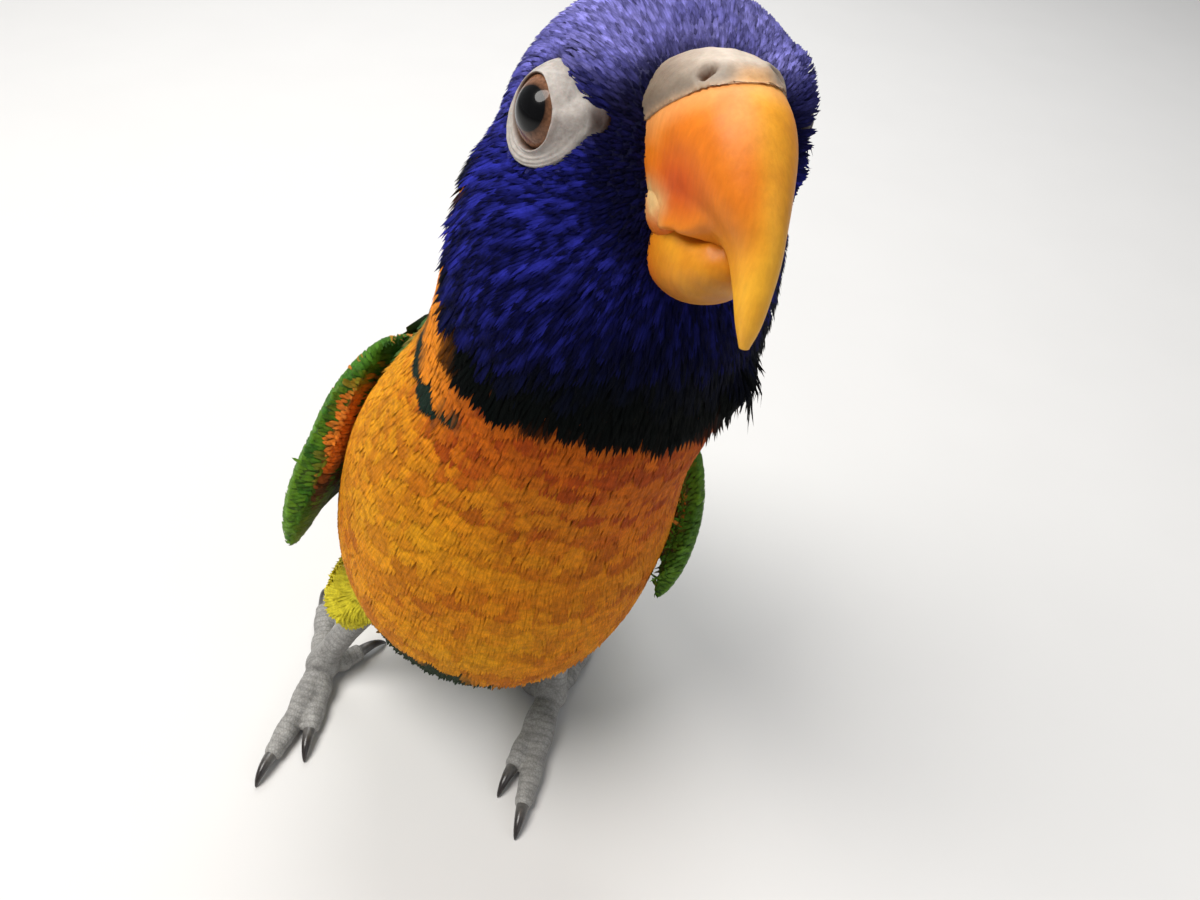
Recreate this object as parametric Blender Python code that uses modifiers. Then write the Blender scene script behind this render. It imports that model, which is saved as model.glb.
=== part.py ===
"""Rainbow lorikeet with an orange collar: a life-size still model that stands up tall on both feet.

The bird stands on the floor, leans a little to its own left, turns its head further to the left
and holds its wings low and slightly away from the breast. Its tail lies back along the floor.

Every size below is in millimetres, in the bird's own frame: the floor between the two feet is
the zero point, the bird faces -Y, its left is +X and up is +Z. The finished objects are in metres,
moved together so that the middle of their common box stands on the origin.
"""
import math

import bmesh
import bpy
import numpy as np
from mathutils import Matrix, Vector
from mathutils.bvhtree import BVHTree

MM = 0.001
GAP = 0.3                    # the air left between pieces that meet
SIDES = {"right": -1, "left": 1}

# ---- body: one row for each section, from the root of the tail up into the head ----
# middle x, y, z, half width, depth of the breast side, depth of the back side, turn to the left
BODY_SECTIONS = [
    (3, 62, 22, 7.5, 4.0, 4.5, 2),
    (5, 51, 28, 13.5, 9.0, 8.0, 3),
    (7.5, 37, 34.5, 21.0, 19.0, 13.5, 4),
    (11, 22, 43, 28.0, 29.0, 18.5, 5),
    (13.5, 8, 55, 31.0, 33.0, 22.0, 6),
    (16.5, 1.5, 70.5, 30.5, 29.5, 22.0, 8),
    (19.0, -3, 85, 28.7, 26.0, 21.0, 10),
    (22.5, -7, 98, 25.8, 22.5, 19.5, 14),
    (26.5, -10.5, 110, 23.3, 20.5, 18.5, 18),
    (29.5, -13, 122, 22.5, 19.5, 18.5, 22),
    (32, -14.7, 135, 22.3, 18.5, 18.8, 25),
    (33.8, -16, 146, 20.0, 15.0, 18.0, 26),
    (34.3, -16.5, 154, 14.0, 10.0, 13.5, 26),
]
BODY_RINGS = 40
BODY_POINTS = 40
# planes that part the neck from the torso and the head from the neck: a place and the way to the head
SHOULDER_CUT = (Vector((26, -10, 104)), Vector((0.10, -0.42, 0.90)))
HOOD_CUT = (Vector((34, -30.5, 117.6)), Vector((0.06, -0.63, 0.77)))
BODY_VOXEL = 1.15
BODY_SHARE = 0.046           # share of the body's faces that is kept

# ---- head ----
HEAD_MIDDLE = Vector((34.8, -16.3, 149.8))
HEAD_YAW, HEAD_PITCH, HEAD_ROLL = 23.0, 28.5, -4.5      # left, up, and the left side down
# ahead of the middle, height of the section's middle, half width, half height
HEAD_SECTIONS = [
    (-20.8, 0.6, 5.0, 5.0),
    (-18.2, 1.0, 10.4, 10.6),
    (-12.5, 1.3, 15.6, 15.6),
    (-5.0, 1.2, 18.2, 18.0),
    (2.0, 0.4, 18.0, 17.4),
    (6.2, -0.4, 16.5, 15.6),
    (9.3, -1.0, 13.2, 13.2),
    (11.4, -1.4, 9.4, 10.4),
    (12.7, -1.8, 4.6, 6.0),
]
CROWN_LEAN = 2.0             # how far the top of the head leans to the left
EYE_RADIUS = 4.5
EYE_PLACE = Vector((13.2, -4.6, 3.1))     # from the middle of the head, to the left, back and up
LID_RADIUS, LID_THICK = 4.05, 0.85

# ---- bill, in the head's own frame: ahead, up, half width, height over and under the line ----
UPPER_BILL = [
    (8.0, 1.6, 6.3, 6.8, 10.4),
    (14.2, 1.5, 6.4, 6.8, 11.0),
    (19.0, -0.5, 5.9, 6.2, 9.8),
    (21.9, -4.6, 4.9, 4.7, 7.1),
    (23.0, -9.0, 3.8, 3.6, 4.7),
    (23.2, -12.9, 2.6, 2.5, 2.8),
    (22.9, -16.3, 1.6, 1.5, 1.3),
    (22.3, -18.8, 0.5, 0.5, 0.4),
]
LOWER_BILL = [
    (6.5, -9.0, 5.6, 5.0, 4.6),
    (10.8, -10.4, 6.0, 5.6, 5.4),
    (14.6, -11.7, 5.7, 5.0, 5.0),
    (17.4, -12.2, 4.4, 3.6, 3.5),
    (18.9, -12.0, 2.4, 1.8, 1.8),
]
CERE_SWELL = 0.55            # how far the cere stands proud of the bill
CERE_FRONT = Vector((0, -20.0, 4.6))
CERE_FACE = Vector((0, -0.48, -0.88))     # the way the front of the cere faces
NOSTRIL_PLACE = Vector((2.8, -17.6, 7.1))
NOSTRIL_RADIUS = 0.95

# ---- legs ----
# hip, knee, heel and hub of the toes; the hub is where the four toes spread
LEGS = {
    "right": {"hip": (-2, 16, 52), "knee": (-13.5, -4, 38), "heel": (-16, 3.5, 23), "hub": (-25.6, 0.4, 6.2)},
    "left": {"hip": (24, 16, 54), "knee": (32, 2, 38), "heel": (29, 8, 24), "hub": (27.6, 0.4, 6.2)},
}
THIGH_RADII = (9.2, 7.4, 5.0)           # at the hip, the knee and the heel
SHANK_RADIUS, HUB_RADIUS = 3.0, 4.1
# direction on the floor in degrees from straight ahead to the left, and length without the claw
TOES = {
    "right": {"outer_front": (-12.5, 23.0), "inner_front": (5.0, 15.5), "outer_back": (-163, 18.5), "inner_back": (133, 9.5)},
    "left": {"outer_front": (-5.5, 26.5), "inner_front": (-19, 19.0), "outer_back": (157, 18.5), "inner_back": (-129, 11.5)},
}
TOE_RADIUS, TOE_TIP_RADIUS = 2.75, 1.95
CLAW_LENGTH, CLAW_RADIUS = 8.4, 1.5

# ---- wings: the lower and the upper edge of a folded wing, from its front to its tip ----
WING_LOWER = {
    "right": [(-20.5, -13.5, 60.5), (-22.5, 12, 50), (-18.5, 45, 36), (-12, 84, 20), (-6.5, 117, 10.5)],
    "left": [(44, -13.5, 60), (45, 12, 50), (35, 45, 37), (21, 84, 21), (12.5, 117, 11.5)],
}
WING_UPPER = {
    "right": [(-2.5, -1, 103), (1.5, 27, 86), (2, 50, 59), (-1, 85, 31), (-3.5, 117, 15)],
    "left": [(36, 9, 93), (29.5, 31, 82), (15.5, 50, 61), (10, 85, 33), (9, 117, 16)],
}
WING_BULGE = {"right": 4.4, "left": 1.0}    # how far a wing bows out between its two edges
WING_CLEAR = {"right": 3.4, "left": 1.8}    # the least height of the wing's middle surface over the body
ARM_THICK = {"right": 3.2, "left": 2.2}     # half the thickness of the wing's arm
ARM_END = 0.36               # how far the arm reaches along the wing
WING_SHINGLE = 0.30          # slope of a vane across itself, as a tangent
# for each tier: count, root and tip along the wing at the lower edge, the same at the upper edge,
# lowest and highest place across the wing, half width, lift over the wing's middle surface and
# the further lift of each vane over its lower neighbour
WING_TIERS = {
    "primary": (6, 0.20, 1.00, 0.27, 0.80, 0.08, 0.60, 4.2, -2.0, 0.45),
    "secondary": (5, 0.17, 0.60, 0.17, 0.70, 0.20, 0.90, 5.2, 0.4, 0.0),
    "greater_covert": (5, 0.15, 0.42, 0.14, 0.49, 0.20, 0.90, 5.4, 1.5, 0.0),
    "median_covert": (5, 0.10, 0.29, 0.09, 0.34, 0.20, 0.90, 5.4, 2.5, 0.0),
}
VANE_EDGE, VANE_SPINE = 0.5, 0.8          # thickness of a vane at its edge and along its shaft

# ---- tail ----
TAIL_ROOT = Vector((3.0, 56.0, 22.5))
TAIL_LINE = [TAIL_ROOT, Vector((1.0, 112.0, 7.6)), Vector((-0.5, 152.0, 0.9)), Vector((-1.0, 172.0, 0.35))]
TAIL_PAIRS = 5
TAIL_SHORTEST = 0.58         # length of an outermost feather against the middle pair
TAIL_HALF_WIDTH = 4.7
TAIL_SPREAD = 2.7            # space between neighbouring feathers, side by side
TAIL_RISE = 0.95             # height of each feather over its outer neighbour
TAIL_TILT = 7.0              # how steeply the feathers shingle, in degrees

COLOURS = {
    "hood_blue": (0.035, 0.030, 0.250), "collar_orange": (0.72, 0.19, 0.012), "breast_orange": (0.80, 0.30, 0.018),
    "wing_green": (0.055, 0.200, 0.010), "tail_green": (0.060, 0.180, 0.015), "thigh_yellow": (0.62, 0.66, 0.02),
    "bill_orange": (0.88, 0.27, 0.02), "cere_cream": (0.66, 0.56, 0.42), "eye_brown": (0.05, 0.02, 0.01),
    "foot_grey": (0.33, 0.32, 0.33), "claw_dark": (0.05, 0.045, 0.045),
}
ROUGHNESS = {"bill_orange": 0.35, "eye_brown": 0.08, "claw_dark": 0.35}


# ---------------------------------------------------------------- small tools
def clear_scene():
    for old in list(bpy.data.objects):
        bpy.data.objects.remove(old, do_unlink=True)


def collection(name, hidden=False):
    found = bpy.data.collections.new(name)
    bpy.context.scene.collection.children.link(found)
    found.hide_render = hidden
    return found


def material(name):
    made = bpy.data.materials.new(name)
    made.use_nodes = True
    shader = made.node_tree.nodes["Principled BSDF"]
    shader.inputs["Base Color"].default_value = (*COLOURS[name], 1)
    shader.inputs["Roughness"].default_value = ROUGHNESS.get(name, 0.8)
    return made


def spline(rows, count):
    """Rows of numbers made into count rows, on a smooth curve through all of them."""
    rows = np.array(rows, float)
    ends = np.vstack([2 * rows[0] - rows[1], rows, 2 * rows[-1] - rows[-2]])
    made = []
    for along in np.linspace(0, len(rows) - 1, count):
        i = min(int(along), len(rows) - 2)
        t = along - i
        a, b, c, d = ends[i:i + 4]
        made.append(0.5 * (2 * b + (c - a) * t + (2 * a - 5 * b + 4 * c - d) * t * t
                           + (3 * b - a - 3 * c + d) * t ** 3))
    return np.array(made)


def object_of(name, bm, into, recalculate=True):
    if recalculate:
        bmesh.ops.recalc_face_normals(bm, faces=bm.faces)
    mesh = bpy.data.meshes.new(name)
    bm.to_mesh(mesh)
    bm.free()
    made = bpy.data.objects.new(name, mesh)
    into.objects.link(made)
    return made


def loft(name, rings, into):
    """A closed body through rings of points, with both ends closed to a middle point."""
    bm = bmesh.new()
    loops = [[bm.verts.new(Vector(point) * MM) for point in ring] for ring in rings]
    for near, far in zip(loops, loops[1:]):
        for k in range(len(near)):
            after = (k + 1) % len(near)
            bm.faces.new((near[k], near[after], far[after], far[k]))
    for loop in (loops[0], loops[-1]):
        middle = bm.verts.new(sum((v.co for v in loop), Vector()) / len(loop))
        for k in range(len(loop)):
            bm.faces.new((loop[k], loop[(k + 1) % len(loop)], middle))
    return object_of(name, bm, into)


def oval(middle, across, up, half_width, over, under, points):
    """One ring: half_width along across, over along up and under against it."""
    ring = []
    for k in range(points):
        angle = 2 * math.pi * k / points
        height = over if math.sin(angle) > 0 else under
        ring.append(middle + across * (half_width * math.cos(angle)) + up * (height * math.sin(angle)))
    return ring


def apply_modifiers(obj):
    graph = bpy.context.evaluated_depsgraph_get()
    bpy.context.view_layer.update()
    mesh = bpy.data.meshes.new_from_object(obj.evaluated_get(graph))
    obj.modifiers.clear()
    obj.data = mesh


def keep_largest(obj):
    """Leaves only the largest closed surface of a mesh."""
    bm = bmesh.new()
    bm.from_mesh(obj.data)
    left, groups = set(bm.verts), []
    while left:
        todo, group = [left.pop()], set()
        while todo:
            vert = todo.pop()
            group.add(vert)
            for edge in vert.link_edges:
                other = edge.other_vert(vert)
                if other in left:
                    left.discard(other)
                    todo.append(other)
        groups.append(group)

    def volume(group):
        faces = {face for vert in group for face in vert.link_faces}
        total = 0.0
        for face in faces:
            first = face.verts[0].co
            for one, two in zip(face.verts[1:], face.verts[2:]):
                total += first.dot(one.co.cross(two.co))
        return abs(total)

    largest = max(groups, key=volume)
    bmesh.ops.delete(bm, geom=[v for v in bm.verts if v not in largest], context="VERTS")
    bm.to_mesh(obj.data)
    bm.free()


def boolean(obj, operation, others, solver="EXACT"):
    """Joins or cuts obj with a list of objects in one Boolean, applies it and removes them."""
    tools = collection("tools", hidden=True)
    for other in others:
        for home in list(other.users_collection):
            home.objects.unlink(other)
        tools.objects.link(other)
    modifier = obj.modifiers.new("boolean", "BOOLEAN")
    modifier.operation = operation
    modifier.solver = solver
    modifier.operand_type = "COLLECTION"
    modifier.collection = tools
    bpy.context.view_layer.update()
    apply_modifiers(obj)
    for other in list(tools.objects):
        bpy.data.objects.remove(other, do_unlink=True)
    bpy.data.collections.remove(tools)
    keep_largest(obj)
    return obj


def copy_of(obj, name, into, swell=0.0):
    """A copy in world space, swollen along its normals by so many millimetres."""
    bpy.context.view_layer.update()
    bm = bmesh.new()
    bm.from_mesh(obj.data)
    bm.transform(obj.matrix_world)
    bm.normal_update()
    for vert in bm.verts:
        vert.co += vert.normal * (swell * MM)
    return object_of(name, bm, into, recalculate=False)


def part_at(obj, place, facing, into, name):
    """Parts a body by a plane with a thin gap, returns the piece behind it and keeps the piece ahead."""
    facing = Vector(facing).normalized()
    behind = copy_of(obj, name, into)
    for piece, keep_ahead in ((obj, True), (behind, False)):
        shift = facing * (GAP / 2 * (1 if keep_ahead else -1))
        bm = bmesh.new()
        bm.from_mesh(piece.data)
        geometry = list(bm.verts) + list(bm.edges) + list(bm.faces)
        cut = bmesh.ops.bisect_plane(bm, geom=geometry, plane_co=(Vector(place) + shift) * MM, plane_no=facing,
                                     dist=1e-7, clear_inner=keep_ahead, clear_outer=not keep_ahead)
        edges = [e for e in cut["geom_cut"] if isinstance(e, bmesh.types.BMEdge)]
        bmesh.ops.holes_fill(bm, edges=edges, sides=0)
        bm.to_mesh(piece.data)
        bm.free()
        keep_largest(piece)
    return behind


def stand_on_floor(obj):
    """Cuts off what lies under the floor, which leaves small flats to stand on."""
    bm = bmesh.new()
    bm.from_mesh(obj.data)
    geometry = list(bm.verts) + list(bm.edges) + list(bm.faces)
    cut = bmesh.ops.bisect_plane(bm, geom=geometry, plane_co=(0, 0, 0), plane_no=(0, 0, 1), dist=1e-7, clear_inner=True)
    edges = [e for e in cut["geom_cut"] if isinstance(e, bmesh.types.BMEdge)]
    bmesh.ops.holes_fill(bm, edges=edges, sides=0)
    bm.to_mesh(obj.data)
    bm.free()
    keep_largest(obj)


def tapered_tube(name, points, radii, into, sides=12):
    """A tube along points with a radius at each, built from a bevelled curve and made a mesh."""
    curve = bpy.data.curves.new(name, "CURVE")
    curve.dimensions = "3D"
    curve.bevel_depth = MM
    curve.bevel_resolution = max(0, sides // 2 - 2) // 2
    curve.use_fill_caps = True
    line = curve.splines.new("POLY")
    line.points.add(len(points) - 1)
    for place, point, radius in zip(line.points, points, radii):
        place.co = (*(Vector(point) * MM), 1)
        place.radius = radius
    drawn = bpy.data.objects.new(name, curve)
    into.objects.link(drawn)
    bpy.context.view_layer.update()
    mesh = bpy.data.meshes.new_from_object(drawn.evaluated_get(bpy.context.evaluated_depsgraph_get()))
    bpy.data.objects.remove(drawn, do_unlink=True)
    bm = bmesh.new()
    bm.from_mesh(mesh)
    bmesh.ops.remove_doubles(bm, verts=bm.verts, dist=0.01 * MM)
    bpy.data.meshes.remove(mesh)
    return object_of(name, bm, into)


def ball(name, place, radius, into, segments=20, rings=12):
    bpy.ops.mesh.primitive_uv_sphere_add(segments=segments, ring_count=rings, radius=radius * MM, location=Vector(place) * MM)
    made = bpy.context.object
    made.name = name
    for home in list(made.users_collection):
        home.objects.unlink(made)
    into.objects.link(made)
    return made


def finish(obj, colour):
    obj.data.materials.clear()
    obj.data.materials.append(MATERIALS[colour])
    obj.data.shade_smooth()
    obj.data.set_sharp_from_angle(angle=math.radians(40))


# ---------------------------------------------------------------- body and head
def body_rows():
    return spline(BODY_SECTIONS, BODY_RINGS)


def body_frame(rows, index):
    """Middle, direction towards the head, left side and breast side of one section."""
    ahead = rows[min(index + 1, len(rows) - 1), :3]
    behind = rows[max(index - 1, 0), :3]
    along = Vector(ahead - behind).normalized()
    turn = math.radians(rows[index, 6])
    left = Vector((math.cos(turn), math.sin(turn), 0))
    left = (left - along * left.dot(along)).normalized()
    return Vector(rows[index, :3]), along, left, left.cross(along)


def make_trunk(into):
    rows = body_rows()
    rings = []
    for i in range(len(rows)):
        middle, _, left, breast = body_frame(rows, i)
        rings.append(oval(middle, left, breast, rows[i, 3], rows[i, 4], rows[i, 5], BODY_POINTS))
    return loft("trunk", rings, into)


def head_frame():
    """Head's own frame to the bird's frame: x to the left, y back, z up."""
    turn = Matrix.Rotation(math.radians(HEAD_YAW), 4, "Z")
    lift = Matrix.Rotation(math.radians(-HEAD_PITCH), 4, "X")
    lean = Matrix.Rotation(math.radians(-HEAD_ROLL), 4, "Y")
    return Matrix.Translation(HEAD_MIDDLE) @ turn @ lift @ lean


def in_head(place):
    return head_frame() @ Vector(place)


def head_direction(way):
    return (head_frame().to_3x3() @ Vector(way)).normalized()


def make_skull(into):
    rings = []
    for ahead, height, half_width, half_height in spline(HEAD_SECTIONS, 20):
        ring = oval(Vector((0, -ahead, height)), Vector((1, 0, 0)), Vector((0, 0, 1)), half_width, half_height, half_height, 32)
        for point in ring:
            point.x += CROWN_LEAN * max(0.0, point.z - 2) / 16
        rings.append([in_head(point) for point in ring])
    return loft("skull", rings, into)


def make_flesh(into):
    """Trunk and skull grown into one smooth body, then thinned to fewer faces."""
    body = boolean(make_trunk(into), "UNION", [make_skull(into)])
    remesh = body.modifiers.new("skin", "REMESH")
    remesh.mode = "VOXEL"
    remesh.voxel_size = BODY_VOXEL * MM
    smooth = body.modifiers.new("smooth", "SMOOTH")
    smooth.factor, smooth.iterations = 0.5, 10
    thin = body.modifiers.new("thin", "DECIMATE")
    thin.ratio = BODY_SHARE
    apply_modifiers(body)
    keep_largest(body)
    return body


def lid_ring(name, side, into):
    """The fleshy ring of the lids, round the eye and square to its gaze."""
    outward = head_direction((side * 0.90, -0.40, 0.12))
    place = in_head(Vector((side * EYE_PLACE.x, EYE_PLACE.y, EYE_PLACE.z))) + outward * 2.5
    turn = outward.to_track_quat("Z", "Y").to_matrix().to_4x4()
    bpy.ops.mesh.primitive_torus_add(major_segments=24, minor_segments=8, major_radius=LID_RADIUS * MM, minor_radius=LID_THICK * MM)
    ring = bpy.context.object
    ring.name = name
    ring.matrix_world = Matrix.Translation(place * MM) @ turn
    for home in list(ring.users_collection):
        home.objects.unlink(ring)
    into.objects.link(ring)
    return copy_and_drop(ring, into)


def copy_and_drop(obj, into):
    """The same mesh with its place put into its points."""
    name = obj.name
    made = copy_of(obj, name + "_placed", into)
    bpy.data.objects.remove(obj, do_unlink=True)
    made.name = name
    return made


def make_eye(side_name, side, into, radius):
    place = in_head(Vector((side * EYE_PLACE.x, EYE_PLACE.y, EYE_PLACE.z)))
    return ball(side_name + "_eye", place, radius, into, 16, 11)


def bill_loft(name, sections, rings, points, into, swell=0.0):
    """A half of the bill: sections square to its bent middle line."""
    rows = spline(sections, rings)
    made = []
    for i, (ahead, height, half_width, over, under) in enumerate(rows):
        after, before = rows[min(i + 1, rings - 1)], rows[max(i - 1, 0)]
        along = Vector((0, -(after[0] - before[0]), after[1] - before[1])).normalized()
        up = Vector((1, 0, 0)).cross(along) * -1
        if up.dot(Vector((0, -ahead, 30))) < 0:
            up = -up
        ring = oval(Vector((0, -ahead, height)), Vector((1, 0, 0)), up, half_width + swell, over + swell, under + swell, points)
        made.append([in_head(point) for point in ring])
    return loft(name, made, into)


def make_bill(head, into):
    """Cere, upper bill and lower bill, each cut clear of the head and of the others."""
    upper = bill_loft("upper_bill", UPPER_BILL, 14, 16, into)
    lower = bill_loft("lower_bill", LOWER_BILL, 9, 14, into)
    cere = bill_loft("cere", UPPER_BILL, 14, 16, into, swell=CERE_SWELL)
    plane, facing = in_head(CERE_FRONT), head_direction(CERE_FACE)
    dropped = part_at(upper, plane, facing, into, "upper_root")
    bpy.data.objects.remove(dropped, do_unlink=True)
    kept = part_at(cere, plane, facing, into, "cere_back")
    bpy.data.objects.remove(cere, do_unlink=True)
    kept.name = "cere"
    nostrils = [ball("nostril", in_head(Vector((side * NOSTRIL_PLACE.x, NOSTRIL_PLACE.y, NOSTRIL_PLACE.z))),
                     NOSTRIL_RADIUS, into, 10, 6) for side in SIDES.values()]
    boolean(kept, "DIFFERENCE", nostrils)
    for piece in (upper, kept, lower):
        boolean(piece, "DIFFERENCE", [copy_of(head, "head_room", into, GAP)])
    boolean(lower, "DIFFERENCE", [copy_of(upper, "upper_room", into, GAP)])
    boolean(lower, "DIFFERENCE", [copy_of(kept, "cere_room", into, GAP)])
    return upper, lower, kept


# ---------------------------------------------------------------- legs
def toe_line(hub, angle, length):
    """Middle line of a toe from the hub to its tip, a little arched and down to the floor."""
    way = Vector((math.sin(math.radians(angle)), -math.cos(math.radians(angle)), 0))
    heights = [hub.z - 1.2, 4.2, 2.6, 2.2, 2.0, TOE_TIP_RADIUS - 0.15]
    shares = [0.0, 0.2, 0.45, 0.65, 0.85, 1.0]
    start = Vector((hub.x, hub.y, 0))
    return way, [start + way * (length * share) + Vector((0, 0, height)) for share, height in zip(shares, heights)]


def make_claw(name, tip, way, into):
    """A bent, pointed claw that starts just ahead of a toe's blunt tip."""
    points, radii = [], []
    for k in range(6):
        share = k / 5
        bend = math.radians(20 - 78 * share)
        if k:
            step = CLAW_LENGTH / 5
            points.append(points[-1] + (way * math.cos(bend) + Vector((0, 0, math.sin(bend)))) * step)
        else:
            points.append(tip - way * 0.9)
        radii.append(CLAW_RADIUS * (1 - share) ** 0.7 + 0.22 * share)
    lowest = min(point.z - radius for point, radius in zip(points, radii))
    if lowest < 0.05:
        points = [point + Vector((0, 0, (0.05 - lowest) * k / 5)) for k, point in enumerate(points)]
    return tapered_tube(name, points, radii, into, 8)


def make_leg(side_name, body, into):
    """One leg, modelled whole and parted into thigh, shank and foot, with its four claws."""
    joints = {name: Vector(place) for name, place in LEGS[side_name].items()}
    hip, knee, heel, hub = (joints[name] for name in ("hip", "knee", "heel", "hub"))
    middle_shank = heel.lerp(hub, 0.5)
    thigh_points = spline([(*hip, THIGH_RADII[0]), (*knee, THIGH_RADII[1]), (*heel, THIGH_RADII[2]),
                           (*heel.lerp(hub, 0.28), SHANK_RADIUS + 0.7)], 12)
    thigh = tapered_tube(side_name + "_thigh", [row[:3] for row in thigh_points], [row[3] for row in thigh_points], into, 16)
    shank = tapered_tube("shank_core", [heel + (heel - hub) * 0.2, heel, middle_shank, hub], [2.4, SHANK_RADIUS + 0.3, SHANK_RADIUS - 0.2, 3.4], into, 12)
    pieces, claws = [shank, ball("hub", hub - Vector((0, 0, 1.3)), HUB_RADIUS, into, 16, 10)], []
    for toe_name, (angle, length) in TOES[side_name].items():
        way, points = toe_line(hub, angle, length)
        radii = [3.2, 3.0, TOE_RADIUS, 2.45, 2.35, TOE_TIP_RADIUS]
        pieces.append(tapered_tube("toe", points, radii, into, 12))
        claws.append(make_claw(f"{side_name}_claw_{toe_name}", points[-1], way, into))
    boolean(thigh, "UNION", pieces)
    axis = (hub - heel).normalized()
    foot_plane, thigh_plane = hub - axis * 5.2, heel.lerp(hub, 0.22)
    upper = part_at(thigh, foot_plane, axis, into, side_name + "_upper")
    thigh.name = side_name + "_foot"
    stand_on_floor(thigh)
    femur = part_at(upper, thigh_plane, axis, into, side_name + "_thigh_part")
    upper.name = side_name + "_shank"
    femur.name = side_name + "_thigh"
    boolean(femur, "DIFFERENCE", [copy_of(body, "body_room", into, GAP)])
    for claw in claws:
        boolean(claw, "DIFFERENCE", [copy_of(thigh, "foot_room", into, GAP)])
    return femur, upper, thigh, claws


# ---------------------------------------------------------------- feathers
def vane(name, line, across, normal, half_widths, into):
    """A closed, thin blade along line; both faces are split alike into triangles."""
    bm = bmesh.new()
    rings = []
    for i, middle in enumerate(line):
        side, up, half = across[i], normal[i], half_widths[i]
        edge, spine = VANE_EDGE / 2, VANE_SPINE / 2
        ring = [middle - side * half + up * edge, middle + up * spine, middle + side * half + up * edge,
                middle + side * half - up * edge, middle - up * spine, middle - side * half - up * edge]
        rings.append([bm.verts.new(point * MM) for point in ring])
    top, bottom = ((0, 1), (1, 2)), ((5, 4), (4, 3))
    for near, far in zip(rings, rings[1:]):
        for a, b in top:
            bm.faces.new((near[a], near[b], far[b]))
            bm.faces.new((near[a], far[b], far[a]))
        for a, b in bottom:
            bm.faces.new((near[b], near[a], far[b]))
            bm.faces.new((far[b], near[a], far[a]))
        for a, b in ((2, 3), (5, 0)):
            bm.faces.new((near[a], near[b], far[b]))
            bm.faces.new((near[a], far[b], far[a]))
    for ring in (rings[0], rings[-1]):
        bm.faces.new((ring[0], ring[1], ring[5]))
        bm.faces.new((ring[1], ring[4], ring[5]))
        bm.faces.new((ring[1], ring[2], ring[4]))
        bm.faces.new((ring[2], ring[3], ring[4]))
    return object_of(name, bm, into)


def blade_widths(count, half_width, point=0.25):
    """Half widths of a feather that is narrow at its root and rounded to its tip."""
    made = []
    for k in range(count):
        share = k / (count - 1)
        root = min(1.0, 0.55 + share * 2.2)
        tip = math.sqrt(max(0.0, 1 - max(0.0, (share - (1 - point)) / point) ** 2))
        made.append(max(half_width * root * tip, 0.45))
    return made


class WingSurface:
    """The middle surface of a folded wing: along runs from its front to its tip, across from the lower edge up."""

    def __init__(self, side_name, body):
        self.side = SIDES[side_name]
        self.bulge, self.clear, self.thick = WING_BULGE[side_name], WING_CLEAR[side_name], ARM_THICK[side_name]
        self.lower = spline(WING_LOWER[side_name], 60)
        self.upper = spline(WING_UPPER[side_name], 60)
        bm = bmesh.new()
        bm.from_mesh(body.data)
        self.body = BVHTree.FromBMesh(bm)
        bm.free()

    def flat(self, along, across):
        at = min(max(along, 0.0), 1.0) * 59
        i = min(int(at), 58)
        low = self.lower[i] + (self.lower[i + 1] - self.lower[i]) * (at - i)
        high = self.upper[i] + (self.upper[i + 1] - self.upper[i]) * (at - i)
        place = Vector(low + (high - low) * across)
        skewed = across ** 0.75
        bow = self.bulge * 4 * skewed * (1 - skewed) * (1 - 0.55 * along)
        return place + Vector((self.side * 0.93, 0.05, 0.36)) * bow

    def point(self, along, across):
        place = self.flat(along, across)
        found, normal, _, _ = self.body.find_nearest(place * MM)
        if found is None:
            return place
        height = (place - found / MM).dot(normal)
        if height < self.clear and (place - found / MM).length < 25:
            place = place + normal * (self.clear - height)
        return place

    def normal(self, along, across):
        """Unit vector out of the wing's outer face."""
        step = 0.02
        one = self.point(min(along + step, 1), across) - self.point(max(along - step, 0), across)
        two = self.point(along, min(across + 3 * step, 1)) - self.point(along, max(across - 3 * step, 0))
        found = one.cross(two).normalized()
        return found if found.x * self.side > 0 else -found


def wing_arm(name, wing, into):
    """The fleshy front of the wing under its small coverts: a thick, rounded pad."""
    rings = []
    rows, points = 7, 10
    for i in range(rows):
        share = i / (rows - 1)
        along = share * ARM_END
        thick = wing.thick * (0.35 + 0.65 * math.sin(math.pi * min(0.12 + share * 1.1, 1.0)))
        ring = []
        for k in range(points):
            angle = 2 * math.pi * k / points
            across = 0.5 + 0.5 * math.cos(angle) * (0.80 + 0.2 * math.sin(math.pi * min(share * 1.6, 1)))
            lift = math.sin(angle) * thick
            ring.append(wing.point(along, across) + wing.normal(along, across) * (lift + 0.9))
        rings.append(ring)
    return loft(name, rings, into)


def wing_vanes(wing, into):
    """Primaries, secondaries and two tiers of coverts, each tier over the one below."""
    made = []
    for tier, (count, root_low, tip_low, root_high, tip_high, low, high, half_width, lift, rise) in WING_TIERS.items():
        stations = 4 if "covert" in tier else 5
        for k in range(count):
            share = k / (count - 1)
            across = low + (high - low) * share
            root = root_low + (root_high - root_low) * share
            tip = tip_low + (tip_high - tip_low) * share
            line, side_ways, normals = [], [], []
            for j in range(stations):
                along = root + (tip - root) * j / (stations - 1)
                normal = wing.normal(along, across)
                ahead = wing.point(min(along + 0.02, 1.0), across) - wing.point(max(along - 0.02, 0.0), across)
                ahead.normalize()
                sideways = ahead.cross(normal).normalized() * wing.side
                shingle = (sideways - normal * WING_SHINGLE).normalized()
                line.append(wing.point(along, across) + normal * (lift + rise * k))
                side_ways.append(shingle)
                normals.append((normal + sideways * WING_SHINGLE).normalized())
            made.append(vane(f"{tier}_{k}", line, side_ways, normals, blade_widths(stations, half_width, 0.35), into))
    return made


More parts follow.
